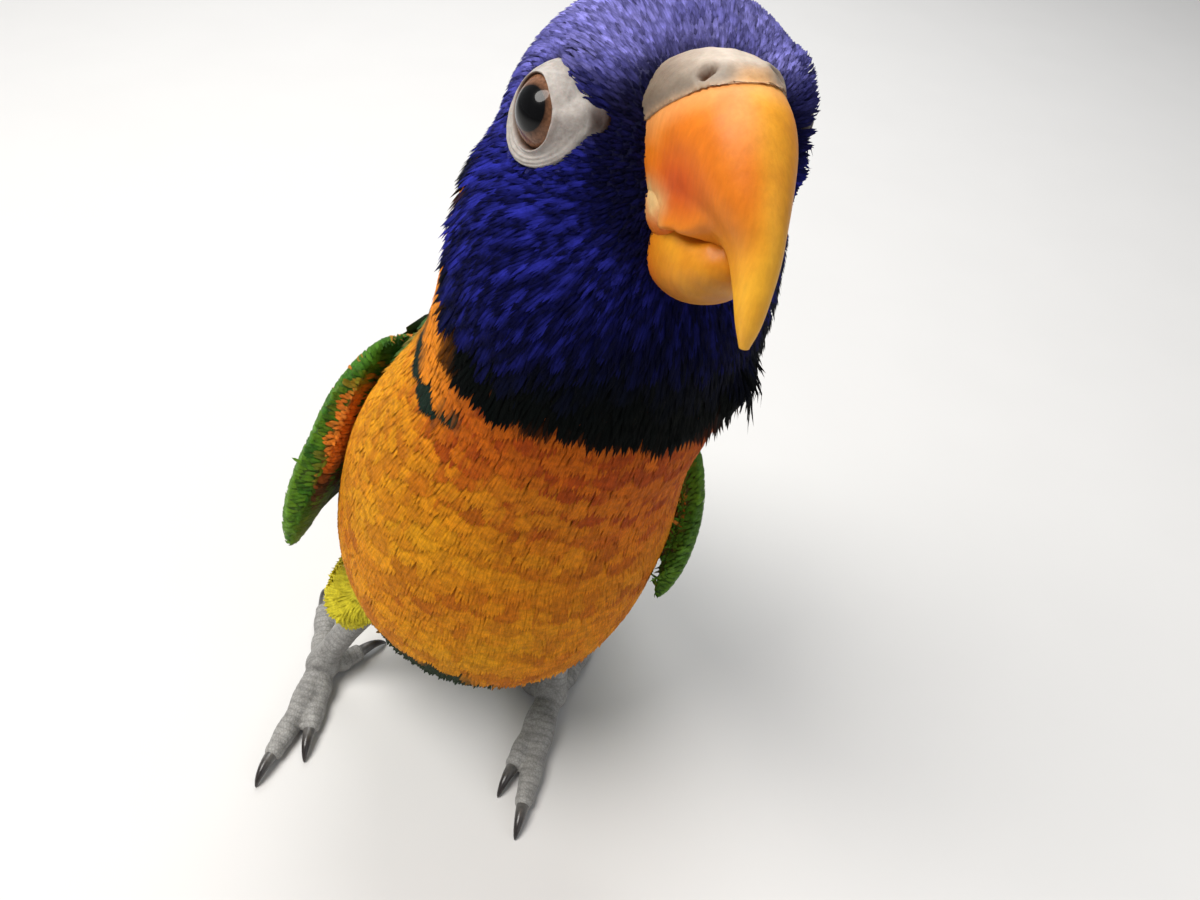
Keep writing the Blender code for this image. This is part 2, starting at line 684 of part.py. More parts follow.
def make_wing(side_name, body, into):
    wing = WingSurface(side_name, body)
    arm = wing_arm(side_name + "_wing", wing, into)
    boolean(arm, "UNION", wing_vanes(wing, into), "MANIFOLD")
    boolean(arm, "DIFFERENCE", [copy_of(body, "body_room", into, GAP)], "MANIFOLD")
    return arm


def tail_place(share):
    """Middle, direction and upper side of the tail at a share of its length."""
    rows = spline([tuple(point) for point in TAIL_LINE], 61)
    i = min(int(share * 60), 59)
    ahead = Vector(rows[i + 1] - rows[i]).normalized()
    left = ahead.cross(Vector((0, 0, 1))).normalized() * -1
    up = ahead.cross(left).normalized()
    return Vector(rows[i] + (rows[i + 1] - rows[i]) * (share * 60 - i)), left, up if up.z > 0 else -up


def make_tail(body, into):
    """Five pairs of tail feathers that shingle outwards and down, the middle pair longest and on top."""
    stations = 6
    root = ball("tail", TAIL_ROOT + Vector((0, 2, -1)), 1.0, into, 14, 8)
    root.scale = (8.5, 8.0, 3.8)
    root = copy_and_drop(root, into)
    vanes = []
    for pair in range(TAIL_PAIRS):
        length = 1 - (1 - TAIL_SHORTEST) * (pair / (TAIL_PAIRS - 1)) ** 0.85
        tilt = TAIL_TILT if pair else 0.0
        for side in SIDES.values():
            height = -TAIL_RISE * pair
            if pair == 0 and side > 0:
                height = 1.15
            line, across, normals = [], [], []
            for j in range(stations):
                share = j / (stations - 1) * length
                middle, left, up = tail_place(share)
                offset = side * (TAIL_SPREAD * pair + 2.0) * (0.5 + 0.65 * share)
                slope = math.tan(math.radians(tilt)) * side
                line.append(middle + left * offset + up * (height - slope * offset * 0.4 + 0.05))
                across.append((left - up * slope).normalized())
                normals.append((up + left * slope).normalized())
            vanes.append(vane(f"tail_{pair}_{side}", line, across, normals, blade_widths(stations, TAIL_HALF_WIDTH, 0.5), into))
    boolean(root, "UNION", vanes)
    stand_on_floor(root)
    boolean(root, "DIFFERENCE", [copy_of(body, "body_room", into, GAP)])
    return root


# ---------------------------------------------------------------- the whole bird
def make_head(flesh, into):
    """The head with its lids, its eye sockets and the eyes in them."""
    lids = [lid_ring("lid", side, into) for side in SIDES.values()]
    boolean(flesh, "UNION", lids)
    sockets = [make_eye("socket", side, into, EYE_RADIUS + GAP) for side in SIDES.values()]
    boolean(flesh, "DIFFERENCE", sockets)
    return {name: make_eye(name, side, into, EYE_RADIUS) for name, side in SIDES.items()}


def main():
    clear_scene()
    bird = collection("rainbow_lorikeet")
    MATERIALS.update({name: material(name) for name in COLOURS})
    flesh = make_flesh(bird)
    whole = copy_of(flesh, "whole_body", bird)
    head = flesh
    head.name = "head"
    neck = part_at(head, *HOOD_CUT, bird, "neck")
    torso = part_at(neck, *SHOULDER_CUT, bird, "torso")
    eyes = make_head(head, bird)
    upper, lower, cere = make_bill(head, bird)
    for piece, colour in ((head, "hood_blue"), (neck, "collar_orange"), (torso, "breast_orange"),
                          (upper, "bill_orange"), (lower, "bill_orange"), (cere, "cere_cream")):
        finish(piece, colour)
    for eye in eyes.values():
        finish(eye, "eye_brown")
    tail = make_tail(whole, bird)
    finish(tail, "tail_green")
    for side_name in SIDES:
        thigh, shank, foot, claws = make_leg(side_name, whole, bird)
        finish(thigh, "thigh_yellow")
        finish(shank, "foot_grey")
        finish(foot, "foot_grey")
        for claw in claws:
            finish(claw, "claw_dark")
        wing = make_wing(side_name, whole, bird)
        finish(wing, "wing_green")
    bpy.data.objects.remove(whole, do_unlink=True)
    stand_on_origin(bird)


def stand_on_origin(bird):
    """Moves all the pieces together, so that the middle of their box stands on the origin."""
    bpy.context.view_layer.update()
    corners = np.array([obj.matrix_world @ vert.co for obj in bird.objects for vert in obj.data.vertices])
    low, high = corners.min(axis=0), corners.max(axis=0)
    shift = Vector((-(low[0] + high[0]) / 2, -(low[1] + high[1]) / 2, -low[2]))
    for obj in bird.objects:
        obj.location += shift


MATERIALS = {}
main()
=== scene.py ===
"""The dressed rainbow lorikeet: skin, plumage, bill, eyes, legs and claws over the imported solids.

Places are in millimetres in the bird's own frame: the floor between the two feet is the zero point,
the bird faces -Y, its left is +X and up is +Z. world() turns them into metres in the scene.
"""
import math

import bpy
import numpy as np
from mathutils import Matrix, Vector
from mathutils.bvhtree import BVHTree
from mathutils.kdtree import KDTree

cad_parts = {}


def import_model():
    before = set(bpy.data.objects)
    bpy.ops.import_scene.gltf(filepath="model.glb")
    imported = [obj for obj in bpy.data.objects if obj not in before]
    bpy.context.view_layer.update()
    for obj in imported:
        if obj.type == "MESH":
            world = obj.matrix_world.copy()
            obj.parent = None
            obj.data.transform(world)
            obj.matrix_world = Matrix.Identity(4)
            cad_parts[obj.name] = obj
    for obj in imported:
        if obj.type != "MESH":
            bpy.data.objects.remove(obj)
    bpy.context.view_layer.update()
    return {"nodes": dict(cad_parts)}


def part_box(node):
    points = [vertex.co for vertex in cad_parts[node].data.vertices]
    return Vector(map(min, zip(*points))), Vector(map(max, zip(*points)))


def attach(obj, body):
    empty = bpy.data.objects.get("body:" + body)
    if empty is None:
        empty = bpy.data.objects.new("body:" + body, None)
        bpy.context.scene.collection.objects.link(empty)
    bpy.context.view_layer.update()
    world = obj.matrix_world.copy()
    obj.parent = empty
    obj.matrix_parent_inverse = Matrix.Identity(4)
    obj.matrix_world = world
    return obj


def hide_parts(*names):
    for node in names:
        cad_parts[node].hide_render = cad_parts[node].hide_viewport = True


bl_info = {
    "name": "Rainbow lorikeet",
    "version": (1, 0, 0),
    "blender": (4, 5, 0),
    "location": "3D View > Sidebar > Lorikeet",
    "description": "Dresses the solids of a life-size rainbow lorikeet",
    "category": "Object",
}

MM = 0.001
SIDES = {"right": -1, "left": 1}

# ---- the bird's own measures; where they repeat, they are the same as in the source of its solids ----
# the middle of each section of the body, from the tail up, and how far its breast turns, in degrees
BODY_LINE = [
    (3, 62, 22, 2), (5, 51, 28, 3), (7.5, 37, 34.5, 4), (11, 22, 43, 5), (13.5, 8, 55, 6),
    (16.5, 1.5, 70.5, 8), (19.0, -3, 85, 10), (22.5, -7, 98, 14), (26.5, -10.5, 110, 18),
    (29.5, -13, 122, 22), (32, -14.7, 135, 25), (33.8, -16, 146, 26), (34.3, -16.5, 154, 26),
]
# a plane under the hood: a point on it and the way it faces
HOOD_PLACE, HOOD_FACING = np.array((34, -30.5, 117.6)), np.array((0.06, -0.63, 0.77))
# how far the hood's lower border lies above that plane, at angles from the breast to the left
HOOD_RIM = (
    [-180, -150, -125, -106, -98, -90, -76, -55, -40, -25, 0, 17, 39, 54, 75, 90, 105, 120, 150, 180],
    [-3.0, 0.0, 6.5, 11.8, 9.4, 5.7, 1.3, 0.2, 2.2, 2.8, 0.6, -3.4, -7.4, -6.8, -5.5, -4.0, -1.0, 1.0, -1.0,
     -3.0],
)
HEAD_MIDDLE = Vector((34.8, -16.3, 149.8))
HEAD_YAW, HEAD_PITCH, HEAD_ROLL = 23.0, 28.5, -4.5
EYE_RADIUS = 4.5
HOOD_TUFT = np.array((49.0, -20.0, 120.0))
EYE_PLACE = (13.2, -4.6, 3.1)
EYE_MIDDLES = {-1: np.array((-13.2, -4.6, 3.1)), 1: np.array((11.4, -3.4, 3.1))}
# how far the skin is swelled ahead of each eye, and along the brow over it, and where that brow runs
LORE_SWELL, BROW_SWELL = {-1: 1.5, 1: 2.2}, {-1: 1.8, 1: 1.1}
BROW_LINE = ((12.6, -7.6, 8.6), (6.4, -12.6, 6.2))
EYE_GAZE = (0.955, -0.28, 0.05)
PUPIL_GAZE = (0.87, -0.48, 0.09)
LID_RADIUS = 3.58
# sections of both bills: ahead and up in the head's frame, half width, height over and depth under
UPPER_BILL = [
    (8.0, 1.6, 6.3, 6.8, 9.4), (14.2, 1.5, 6.4, 6.8, 10.0), (19.0, -0.5, 5.7, 6.2, 10.4),
    (21.9, -4.6, 4.3, 4.7, 6.2), (23.0, -9.0, 2.5, 3.6, 3.3), (23.2, -12.9, 1.75, 2.5, 2.1),
    (22.9, -16.3, 1.2, 1.5, 1.2), (22.3, -18.8, 0.5, 0.5, 0.4),
]
LOWER_BILL = [
    (6.5, -9.0, 5.0, 5.2, 4.6), (10.8, -10.5, 5.3, 5.4, 5.3), (14.6, -11.3, 4.9, 4.4, 4.4),
    (17.4, -11.1, 3.9, 2.7, 3.1), (19.2, -10.5, 2.6, 2.0, 2.1), (20.1, -10.1, 1.0, 0.9, 1.0),
]
CERE_SWELL = 0.55
# half width of the upper bill near the mouth, by how far ahead of the head's middle
MOUTH_WIDTH = [13.3, 14.6, 15.4, 16.2, 17.9, 19.6, 21.5, 23], [5.9, 5.75, 5.6, 5.35, 4.9, 4.3, 3.5, 2.8]
GAPE_PLACE, GAPE_HALF = (4.35, -12.1, -5.8), (1.8, 4.2, 3.2)
GAPE_TONE, BILL_PALE = np.array((0.7, 0.46, 0.2)), np.array((0.8, 0.4, 0.15))
CERE_ORANGE, CERE_RIM = np.array((0.78, 0.4, 0.13)), np.array((0.62, 0.36, 0.18))
# dark brown in each nostril's shallow dip: painted shade of the opening
NOSTRIL_SHADE = np.array((0.085, 0.034, 0.014))
CERE_FRONT, CERE_FACE = Vector((0, -20.0, 4.6)), Vector((0, -0.28, -0.96))
NOSTRIL_PLACE = (3.8, -20.0, 6.4)
LEGS = {
    "right": {"hip": (-2, 16, 52), "knee": (-13.5, -4, 38), "heel": (-16, 3.5, 23), "hub": (-25.6, 0.4, 6.2)},
    "left": {"hip": (24, 16, 54), "knee": (32, 2, 38), "heel": (29, 8, 24), "hub": (27.6, 0.4, 6.2)},
}
# each toe: degrees from straight ahead, and its length without the claw
TOES = {
    "right": {"outer_front": (-12.5, 23.0), "inner_front": (5.0, 15.5),
              "outer_back": (-163, 18.5), "inner_back": (133, 9.5)},
    "left": {"outer_front": (-5.5, 26.5), "inner_front": (-19, 19.0),
             "outer_back": (157, 18.5), "inner_back": (-129, 11.5)},
}
TOE_TIP_RADIUS = 1.95
CLAW_LENGTH, CLAW_RADIUS = 8.4, 1.5
WING_LOWER = {
    "right": [(-20.5, -13.5, 60.5), (-22.5, 12, 50), (-18.5, 45, 36), (-12, 84, 20), (-6.5, 117, 10.5)],
    "left": [(44, -13.5, 60), (45, 12, 50), (35, 45, 37), (21, 84, 21), (12.5, 117, 11.5)],
}
WING_UPPER = {
    "right": [(-2.5, -1, 103), (1.5, 27, 86), (2, 50, 59), (-1, 85, 31), (-3.5, 117, 15)],
    "left": [(36, 9, 93), (29.5, 31, 82), (15.5, 50, 61), (10, 85, 33), (9, 117, 16)],
}
# how far each wing bulges outwards and keeps off the skin, and how far along it its fleshy pad goes
WING_BULGE = {"right": 4.4, "left": 1.0}
WING_CLEAR = {"right": 3.4, "left": 1.8}
PAD_START, PAD_END = 0.012, 0.36
# thickness of the pad outwards and inwards, and how near the body its lining shows
PAD_THICK = {"right": (2.5, 5.0), "left": (2.9, 1.5)}
LINING_REACH = {"right": 5.2, "left": 2.2}
TAIL_ROOT = (3.0, 56.0, 22.5)
TAIL_LINE = [TAIL_ROOT, (1.0, 112.0, 7.6), (-0.5, 152.0, 0.9), (-1.0, 172.0, 0.35)]

# ---- the rest of the sizes that more than one piece shares, in millimetres ----
SKIN_INSET, SKIN_VOXEL, LEG_VOXEL = 0.3, 0.85, 0.3
VANES_IN_PIECE = 7600
BACK_ANGLE, BACK_DEPTH = 112, -22
BODY_SPLIT = 8
WING_STEPS, WING_LINE = 40, 60
FOOT_PLATE, SHANK_PLATES = 1.55, 11
TOE_RADII = (3.1, 2.9, 2.65, 2.35, 2.25, 1.9)
CLAW_STEPS = 21

# ---- the camera, in the bird's frame: place, right, down and ahead; focal length in picture widths ----
CAMERA_PLACE = (32.8448, -116.9028, 200.2947)
CAMERA_RIGHT = (0.991776, 0.093399, 0.087507)
CAMERA_DOWN = (0.127873, -0.694211, -0.708322)
CAMERA_AHEAD = (-0.005408, 0.713686, -0.700445)
CAMERA_FOCAL = 954.7217 / 1200


# ---- settings ----
def length(name, text, default):
    return bpy.props.FloatProperty(name=name, description=text, default=default, min=0.0, precision=5,
                                   subtype="DISTANCE", unit="LENGTH")


def colour(name, text, default):
    return bpy.props.FloatVectorProperty(name=name, description=text, default=default, min=0.0, max=1.0,
                                         size=3, subtype="COLOR")


class LorikeetSizes(bpy.types.PropertyGroup):
    """Measures of the plumage."""
    coat_depth: length("Coat depth", "How far the skin lies inside the outline of the body", 0.0008)
    hood_space: length("Hood vane spacing", "Space between the roots of the vanes of the hood", 0.0005)
    breast_space: length("Breast vane spacing", "Space between the roots of the vanes of the breast", 0.00064)
    back_space: length("Back vane spacing", "Space between the roots of the vanes of the back", 0.0009)
    hood_feather: length("Hood feather", "Space between the tips of the cheek feathers", 0.0022)
    breast_feather: length("Breast feather", "Space between the tips of the breast feathers", 0.0036)
    back_feather: length("Back feather", "Space between the tips of the back feathers", 0.005)


class LorikeetColours(bpy.types.PropertyGroup):
    """Colours of the plumage and of the bare parts."""
    # pale crown streaks, made lighter than their own colour as a painted highlight from the light above
    crown_and_highlight: colour("Crown", "Streaks on the crown", (0.25, 0.235, 0.64))
    hood: colour("Hood", "Shafts of the cheek feathers", (0.022, 0.026, 0.32))
    hood_dark: colour("Hood shade", "Edges of the hood feathers", (0.0014, 0.0017, 0.024))
    hood_edge: colour("Hood edge", "Lower border of the hood", (0.0008, 0.0024, 0.002))
    collar: colour("Collar", "Band behind the hood", (0.94, 0.29, 0.012))
    breast_gold: colour("Golden breast", "Sides of the breast", (0.94, 0.43, 0.01))
    breast_orange: colour("Orange breast", "Middle of the breast", (0.76, 0.18, 0.005))
    breast_bar: colour("Breast bars", "Faint bars across the breast", (0.44, 0.06, 0.004))
    belly: colour("Belly", "Dark green patch under the belly", (0.01, 0.03, 0.006))
    back: colour("Back", "Green of the back", (0.04, 0.16, 0.008))
    mantle: colour("Mantle", "Dark band under the collar", (0.006, 0.022, 0.012))
    wing: colour("Wing", "Green of the wing", (0.045, 0.18, 0.006))
    wing_edge: colour("Wing edge", "Paler green of feather edges", (0.2, 0.4, 0.014))
    lining: colour("Wing lining", "Red orange under the wing", (0.96, 0.27, 0.022))
    thigh: colour("Thigh", "Yellow of the thighs", (0.82, 0.7, 0.04))
    vent: colour("Vent", "Yellow green under the tail", (0.3, 0.36, 0.015))
    bill: colour("Bill", "Orange of the bill", (0.72, 0.2, 0.01))
    bill_root: colour("Bill root", "Deep orange at the sides of the bill", (0.64, 0.095, 0.006))
    bill_tip: colour("Bill tip", "Yellow of the ridge and the tip", (0.84, 0.44, 0.028))
    cere: colour("Cere", "Bare skin over the bill", (0.31, 0.265, 0.22))
    ring: colour("Eye ring", "Bare skin round the eye", (0.4, 0.37, 0.345))
    iris: colour("Iris", "Brown of the iris", (0.23, 0.105, 0.055))
    foot: colour("Foot", "Grey of the legs and toes", (0.33, 0.325, 0.31))
    claw: colour("Claw", "Horn of the claws", (0.02, 0.016, 0.015))
    floor: colour("Floor", "Plain pale floor", (0.7, 0.695, 0.685))


def sizes():
    return bpy.context.scene.lorikeet_sizes


def shade(name):
    return np.array(getattr(bpy.context.scene.lorikeet_colours, name), float)


# ---- small tools ----
def spline(rows, count):
    """Rows of numbers made into count rows, on a smooth curve through all of them."""
    rows = np.array(rows, float)
    ends = np.vstack([2 * rows[0] - rows[1], rows, 2 * rows[-1] - rows[-2]])
    made = []
    for along in np.linspace(0, len(rows) - 1, count):
        i = min(int(along), len(rows) - 2)
        t = along - i
        a, b, c, d = ends[i:i + 4]
        made.append(0.5 * (2 * b + (c - a) * t + (2 * a - 5 * b + 4 * c - d) * t * t
                           + (3 * b - a - 3 * c + d) * t ** 3))
    return np.array(made)


def head_frame():
    """Head's own frame to the bird's frame: x to the left, y back, z up."""
    turn = Matrix.Rotation(math.radians(HEAD_YAW), 4, "Z")
    lift = Matrix.Rotation(math.radians(-HEAD_PITCH), 4, "X")
    lean = Matrix.Rotation(math.radians(-HEAD_ROLL), 4, "Y")
    return Matrix.Translation(HEAD_MIDDLE) @ turn @ lift @ lean


HEAD = head_frame()
HEAD_AXES = np.array(HEAD.to_3x3())


def in_head(place):
    return HEAD @ Vector(place)


def head_way(way):
    return (HEAD.to_3x3() @ Vector(way)).normalized()


def to_head(places):
    return (np.asarray(places) - np.array(HEAD_MIDDLE)) @ HEAD_AXES


def from_head(places):
    return places @ HEAD_AXES.T + np.array(HEAD_MIDDLE)


def size_of(vectors):
    return np.linalg.norm(vectors, axis=-1)


def unit(vectors):
    return vectors / np.maximum(size_of(vectors)[..., None], 1e-9)


def laid_flat(ways, normals):
    """Ways turned to lie on surfaces that face along normals."""
    return unit(ways - normals * np.sum(ways * normals, -1, keepdims=True))


def full_turn(count):
    return np.linspace(0, 2 * np.pi, count, endpoint=False)


def stretch(count):
    """Even numbers from 0 to 1."""
    return np.linspace(0, 1, count)


def row_at(table, share):
    """A table's value at a share of its rows, between the two rows round it."""
    at = share * (len(table) - 1)
    i = min(int(at), len(table) - 2)
    return table[i] + (table[i + 1] - table[i]) * (at - i)


def ease(low, high, values):
    share = np.clip((np.asarray(values, float) - low) / (high - low), 0, 1)
    return share * share * (3 - 2 * share)


def mix(one, two, share):
    share = np.asarray(share)[..., None]
    return one * (1 - share) + two * share


def mix_both(pair, one, two, share):
    """A feather's middle and edge colours mixed towards two others, by the same share."""
    return mix(pair[0], one, share), mix(pair[1], two, share)


def toward(pair, name, darker, share):
    """A feather's middle and edge colours mixed towards a named colour and a darker form of it."""
    return mix_both(pair, shade(name), shade(name) * darker, share)


def hump(values, width):
    """1 where values are 0, falling away smoothly over a width."""
    return np.exp(-(values / width) ** 2)


def waves(places, size, seed):
    """Smooth, repeatable unevenness between -1 and 1 with bumps about size across."""
    places = np.asarray(places) / size
    draw = np.random.default_rng(seed)
    total = np.zeros(places.shape[:-1])
    for _ in range(7):
        way = unit(draw.normal(size=3))
        bend = unit(draw.normal(size=3))
        phase, pace = draw.uniform(0, 6.28), draw.uniform(0.7, 1.7) * 3.1
        total += np.sin(places @ way * pace + phase + 1.3 * np.sin(places @ bend * pace * 0.6 + phase * 2))
    return total / 4.2


def home():
    """Where the bird's own zero point lies in the scene, in millimetres."""
    low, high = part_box("left_eye")
    middle = (low + high) / 2 / MM
    return np.array(middle - in_head(EYE_PLACE))


def world(places):
    return (np.asarray(places, float) + HOME) * MM


def deselect():
    if bpy.context.object and bpy.context.object.mode != "OBJECT":
        bpy.ops.object.mode_set(mode="OBJECT")
    bpy.ops.object.select_all(action="DESELECT")


def choose(obj):
    deselect()
    obj.select_set(True)
    bpy.context.view_layer.objects.active = obj


def apply_all(obj):
    choose(obj)
    for modifier in list(obj.modifiers):
        bpy.ops.object.modifier_apply(modifier=modifier.name)


def place_in_mesh(obj):
    """Puts an object's place, turn and size into its mesh."""
    choose(obj)
    bpy.ops.object.transform_apply(location=True, rotation=True, scale=True)


def edit_all(obj, *actions):
    """Runs edit mode operators, as pairs of an operator and its settings, on all of an object's mesh."""
    choose(obj)
    bpy.ops.object.mode_set(mode="EDIT")
    bpy.ops.mesh.select_all(action="SELECT")
    for action, settings in actions:
        action(**settings)
    bpy.ops.object.mode_set(mode="OBJECT")


def joined(objects):
    """Several objects made into one."""
    choose(objects[0])
    for obj in objects:
        obj.select_set(True)
    bpy.ops.object.join()
    return bpy.context.object


def named(obj, name):
    obj.name = obj.data.name = name
    return obj


def smoothed(obj, rounds, voxel=None):
    """Makes an object's mesh anew in even cells where a voxel size is given, and smooths it."""
    if voxel:
        remesh = obj.modifiers.new("remesh", "REMESH")
        remesh.mode, remesh.voxel_size = "VOXEL", voxel * MM
    soft = obj.modifiers.new("soft", "SMOOTH")
    soft.factor, soft.iterations = 0.5, rounds
    apply_all(obj)


def places_of(obj):
    """The points of an object's mesh, in the bird's millimetres."""
    flat = np.empty(len(obj.data.vertices) * 3)
    obj.data.vertices.foreach_get("co", flat)
    return flat.reshape(-1, 3) / MM - HOME


def normals_of(obj):
    flat = np.empty(len(obj.data.vertices) * 3)
    obj.data.vertex_normals.foreach_get("vector", flat)
    return flat.reshape(-1, 3)


def move_to(obj, places):
    """Gives an object's points new places, in the bird's millimetres."""
    obj.data.vertices.foreach_set("co", world(places).ravel())
    obj.data.update()


def added(name, data):
    """A new object in the scene, from its data."""
    made = bpy.data.objects.new(name, data)
    bpy.context.scene.collection.objects.link(made)
    return made


def mesh_object(name, points, quads, triangles=()):
    """An object from arrays: points in the bird's millimetres, faces of four and of three corners."""
    quads = np.asarray(quads, np.int32).reshape(-1, 4)
    triangles = np.asarray(triangles, np.int32).reshape(-1, 3)
    mesh = bpy.data.meshes.new(name)
    mesh.vertices.add(len(points))
    mesh.vertices.foreach_set("co", world(points).ravel())
    mesh.loops.add(quads.size + triangles.size)
    mesh.loops.foreach_set("vertex_index", np.concatenate([quads.ravel(), triangles.ravel()]))
    mesh.polygons.add(len(quads) + len(triangles))
    starts = np.concatenate([np.arange(len(quads)) * 4, quads.size + np.arange(len(triangles)) * 3])
    mesh.polygons.foreach_set("loop_start", starts)
    mesh.update(calc_edges=True)
    mesh.validate()
    return added(name, mesh)


def tint(obj, colours):
    """Stores one colour a point, read by the materials."""
    layer = obj.data.color_attributes.new("Tint", "FLOAT_COLOR", "POINT")
    flat = np.ones((len(obj.data.vertices), 4))
    flat[:, :3] = np.clip(colours, 0, 1)
    layer.data.foreach_set("color", flat.ravel())


def point_map(obj, name, places):
    """A UV map from one place a point."""
    layer = obj.data.uv_layers.new(name=name)
    corners = np.empty(len(obj.data.loops), np.int32)
    obj.data.loops.foreach_get("vertex_index", corners)
    layer.data.foreach_set("uv", np.asarray(places)[corners].ravel())


def finish(obj, made_of, slot, *nodes, crisp=False):
    """Last steps of each piece: its material, smooth faces, what it rides on and what it replaces."""
    obj.data.materials.clear()
    obj.data.materials.append(made_of)
    if crisp:
        choose(obj)
        bpy.ops.object.shade_smooth_by_angle(angle=math.radians(50))
    else:
        obj.data.shade_smooth()
    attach(obj, "root")
    if nodes:
        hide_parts(*nodes)
    return obj


def loft(name, rings, capped=True):
    """A closed body through rings of points: its ends are capped by middle points, or joined together."""
    rings = np.array(rings, float)
    rows, around = rings.shape[:2]
    points = rings.reshape(-1, 3)
    i, k = np.meshgrid(np.arange(rows - 1 if capped else rows), np.arange(around), indexing="ij")
    after = (k + 1) % around
    low, high = i * around, (i + 1) % rows * around
    quads = np.stack([low + k, low + after, high + after, high + k], -1)
    triangles = []
    for row in (0, rows - 1) if capped else ():
        middle = len(points)
        points = np.vstack([points, rings[row].mean(axis=0)])
        for k in range(around):
            pair = (row * around + k, row * around + (k + 1) % around)
            triangles.append((*(pair[::-1] if row == 0 else pair), middle))
    made = mesh_object(name, points, quads.reshape(-1, 4), triangles)
    edit_all(made, (bpy.ops.mesh.normals_make_consistent, {"inside": False}))
    return made


def oval(middle, across, up, half_width, over, under, count, square=2.0, square_under=None):
    """One ring round middle: half_width along across, over along up and under against it."""
    angle = full_turn(count)
    square = np.where(np.sin(angle) > 0, square, square_under or square)
    wide = np.sign(np.cos(angle)) * np.abs(np.cos(angle)) ** (2 / square)
    high = np.sign(np.sin(angle)) * np.abs(np.sin(angle)) ** (2 / square)
    height = np.where(high > 0, over, under) * high
    return np.asarray(middle) + np.outer(wide * half_width, across) + np.outer(height, up)


# ---- materials ----
class Finish:
    """A node material: a Principled shader with helpers to add what feeds it."""

    def __init__(self, name, **sockets):
        self.material = bpy.data.materials.new(name)
        self.material.use_nodes = True
        self.tree = self.material.node_tree
        self.shader = self.tree.nodes["Principled BSDF"]
        for socket, value in sockets.items():
            self.shader.inputs[socket.replace("_", " ")].default_value = value

    def node(self, kind, **settings):
        made = self.tree.nodes.new(kind)
        for name, value in settings.items():
            setattr(made, name, value)
        return made

    def link(self, one, output, two, entry):
        self.tree.links.new(one.outputs[output], two.inputs[entry])

    def attribute(self, name):
        return self.node("ShaderNodeAttribute", attribute_type="GEOMETRY", attribute_name=name)

    def stretched(self, scale, name=None):
        """Object coordinates, or a UV map, scaled by three numbers."""
        source = self.node("ShaderNodeUVMap", uv_map=name) if name else self.node("ShaderNodeTexCoord")
        mapping = self.node("ShaderNodeMapping")
        mapping.inputs["Scale"].default_value = scale
        self.link(source, "UV" if name else "Object", mapping, "Vector")
        return mapping

    def noise(self, size, detail, rough, scale=(1, 1, 1), name=None):
        mapping = self.stretched(scale, name)
        made = self.node("ShaderNodeTexNoise")
        made.inputs["Scale"].default_value = size
        made.inputs["Detail"].default_value = detail
        made.inputs["Roughness"].default_value = rough
        self.link(mapping, "Vector", made, "Vector")
        return made

    def ramp(self, source, output, *stops):
        """A colour ramp through its stops, each a place and a colour or a grey."""
        made = self.node("ShaderNodeValToRGB")
        while len(made.color_ramp.elements) < len(stops):
            made.color_ramp.elements.new(0.5)
        for element, (place, value) in zip(made.color_ramp.elements, stops):
            element.position = place
            element.color = (*np.broadcast_to(value, 3), 1)
        self.link(source, output, made, "Fac")
        return made

    def times(self, one, one_output, two, share=1.0):
        """One colour times another, by a share. Sockets 6 and 7 are the mix node's colours."""
        made = self.node("ShaderNodeMix", data_type="RGBA", blend_type="MULTIPLY")
        made.inputs["Factor"].default_value = share
        self.link(one, one_output, made, 6)
        self.link(two, "Color", made, 7)
        return made

    def range(self, source, output, low, high, to_low, to_high):
        made = self.node("ShaderNodeMapRange")
        for entry, value in zip(("From Min", "From Max", "To Min", "To Max"), (low, high, to_low, to_high)):
            made.inputs[entry].default_value = value
        self.link(source, output, made, "Value")
        return made

    def dent(self, source, output, distance, strength):
        """Bumps of a depth in metres under the shader."""
        made = self.node("ShaderNodeBump")
        made.inputs["Distance"].default_value = distance
        made.inputs["Strength"].default_value = strength
        self.link(source, output, made, "Height")
        self.link(made, "Normal", self.shader, "Normal")

    def colour_from(self, node, output=2):
        """Feeds the base colour; 2 is the mix node's colour output."""
        self.link(node, output, self.shader, "Base Color")


def grained(name, grain, stops, dent, **sockets):
    """A finish whose own tint is lightened and darkened, and dented, by one fine noise."""
    made = Finish(name, **sockets)
    base = made.attribute("Tint")
    noise = made.noise(*grain)
    light = made.ramp(noise, "Fac", *stops)
    made.colour_from(made.times(base, "Color", light))
    made.dent(noise, "Fac", *dent)
    return made.material


def plumage(name, barbs=46.0, rough=0.62, sheen=0.02, gloss=0.12):
    """Feather: its own tint, fine barbs along the vane, and a little unevenness from one to the next."""
    made = Finish(name, Roughness=rough, Sheen_Weight=sheen, Sheen_Roughness=0.4, Specular_IOR_Level=gloss)
    base = made.attribute("Tint")
    uneven = made.noise(900.0, 4.0, 0.6)
    light = made.ramp(uneven, "Fac", (0.3, 0.7), (0.72, 1.22))
    toned = made.times(base, "Color", light)
    streak = made.noise(1.0, 2.0, 0.5, (barbs, 3.0, 1), "Vane")
    line = made.ramp(streak, "Fac", (0.32, 0.72), (0.66, 1.16))
    made.colour_from(made.times(toned, 2, line, 0.75))
    made.dent(streak, "Fac", 0.00012, 0.7)
    return made.material


def skin_finish():
    """Skin under the plumage: the same markings, with a fine pimpled surface."""
    return grained("under_down", (1400.0, 5.0, 0.7), [(0.3, 0.55), (0.75, 1.1)], (0.0004, 0.8),
                   Roughness=0.9, Sheen_Weight=0.15, Specular_IOR_Level=0.1)


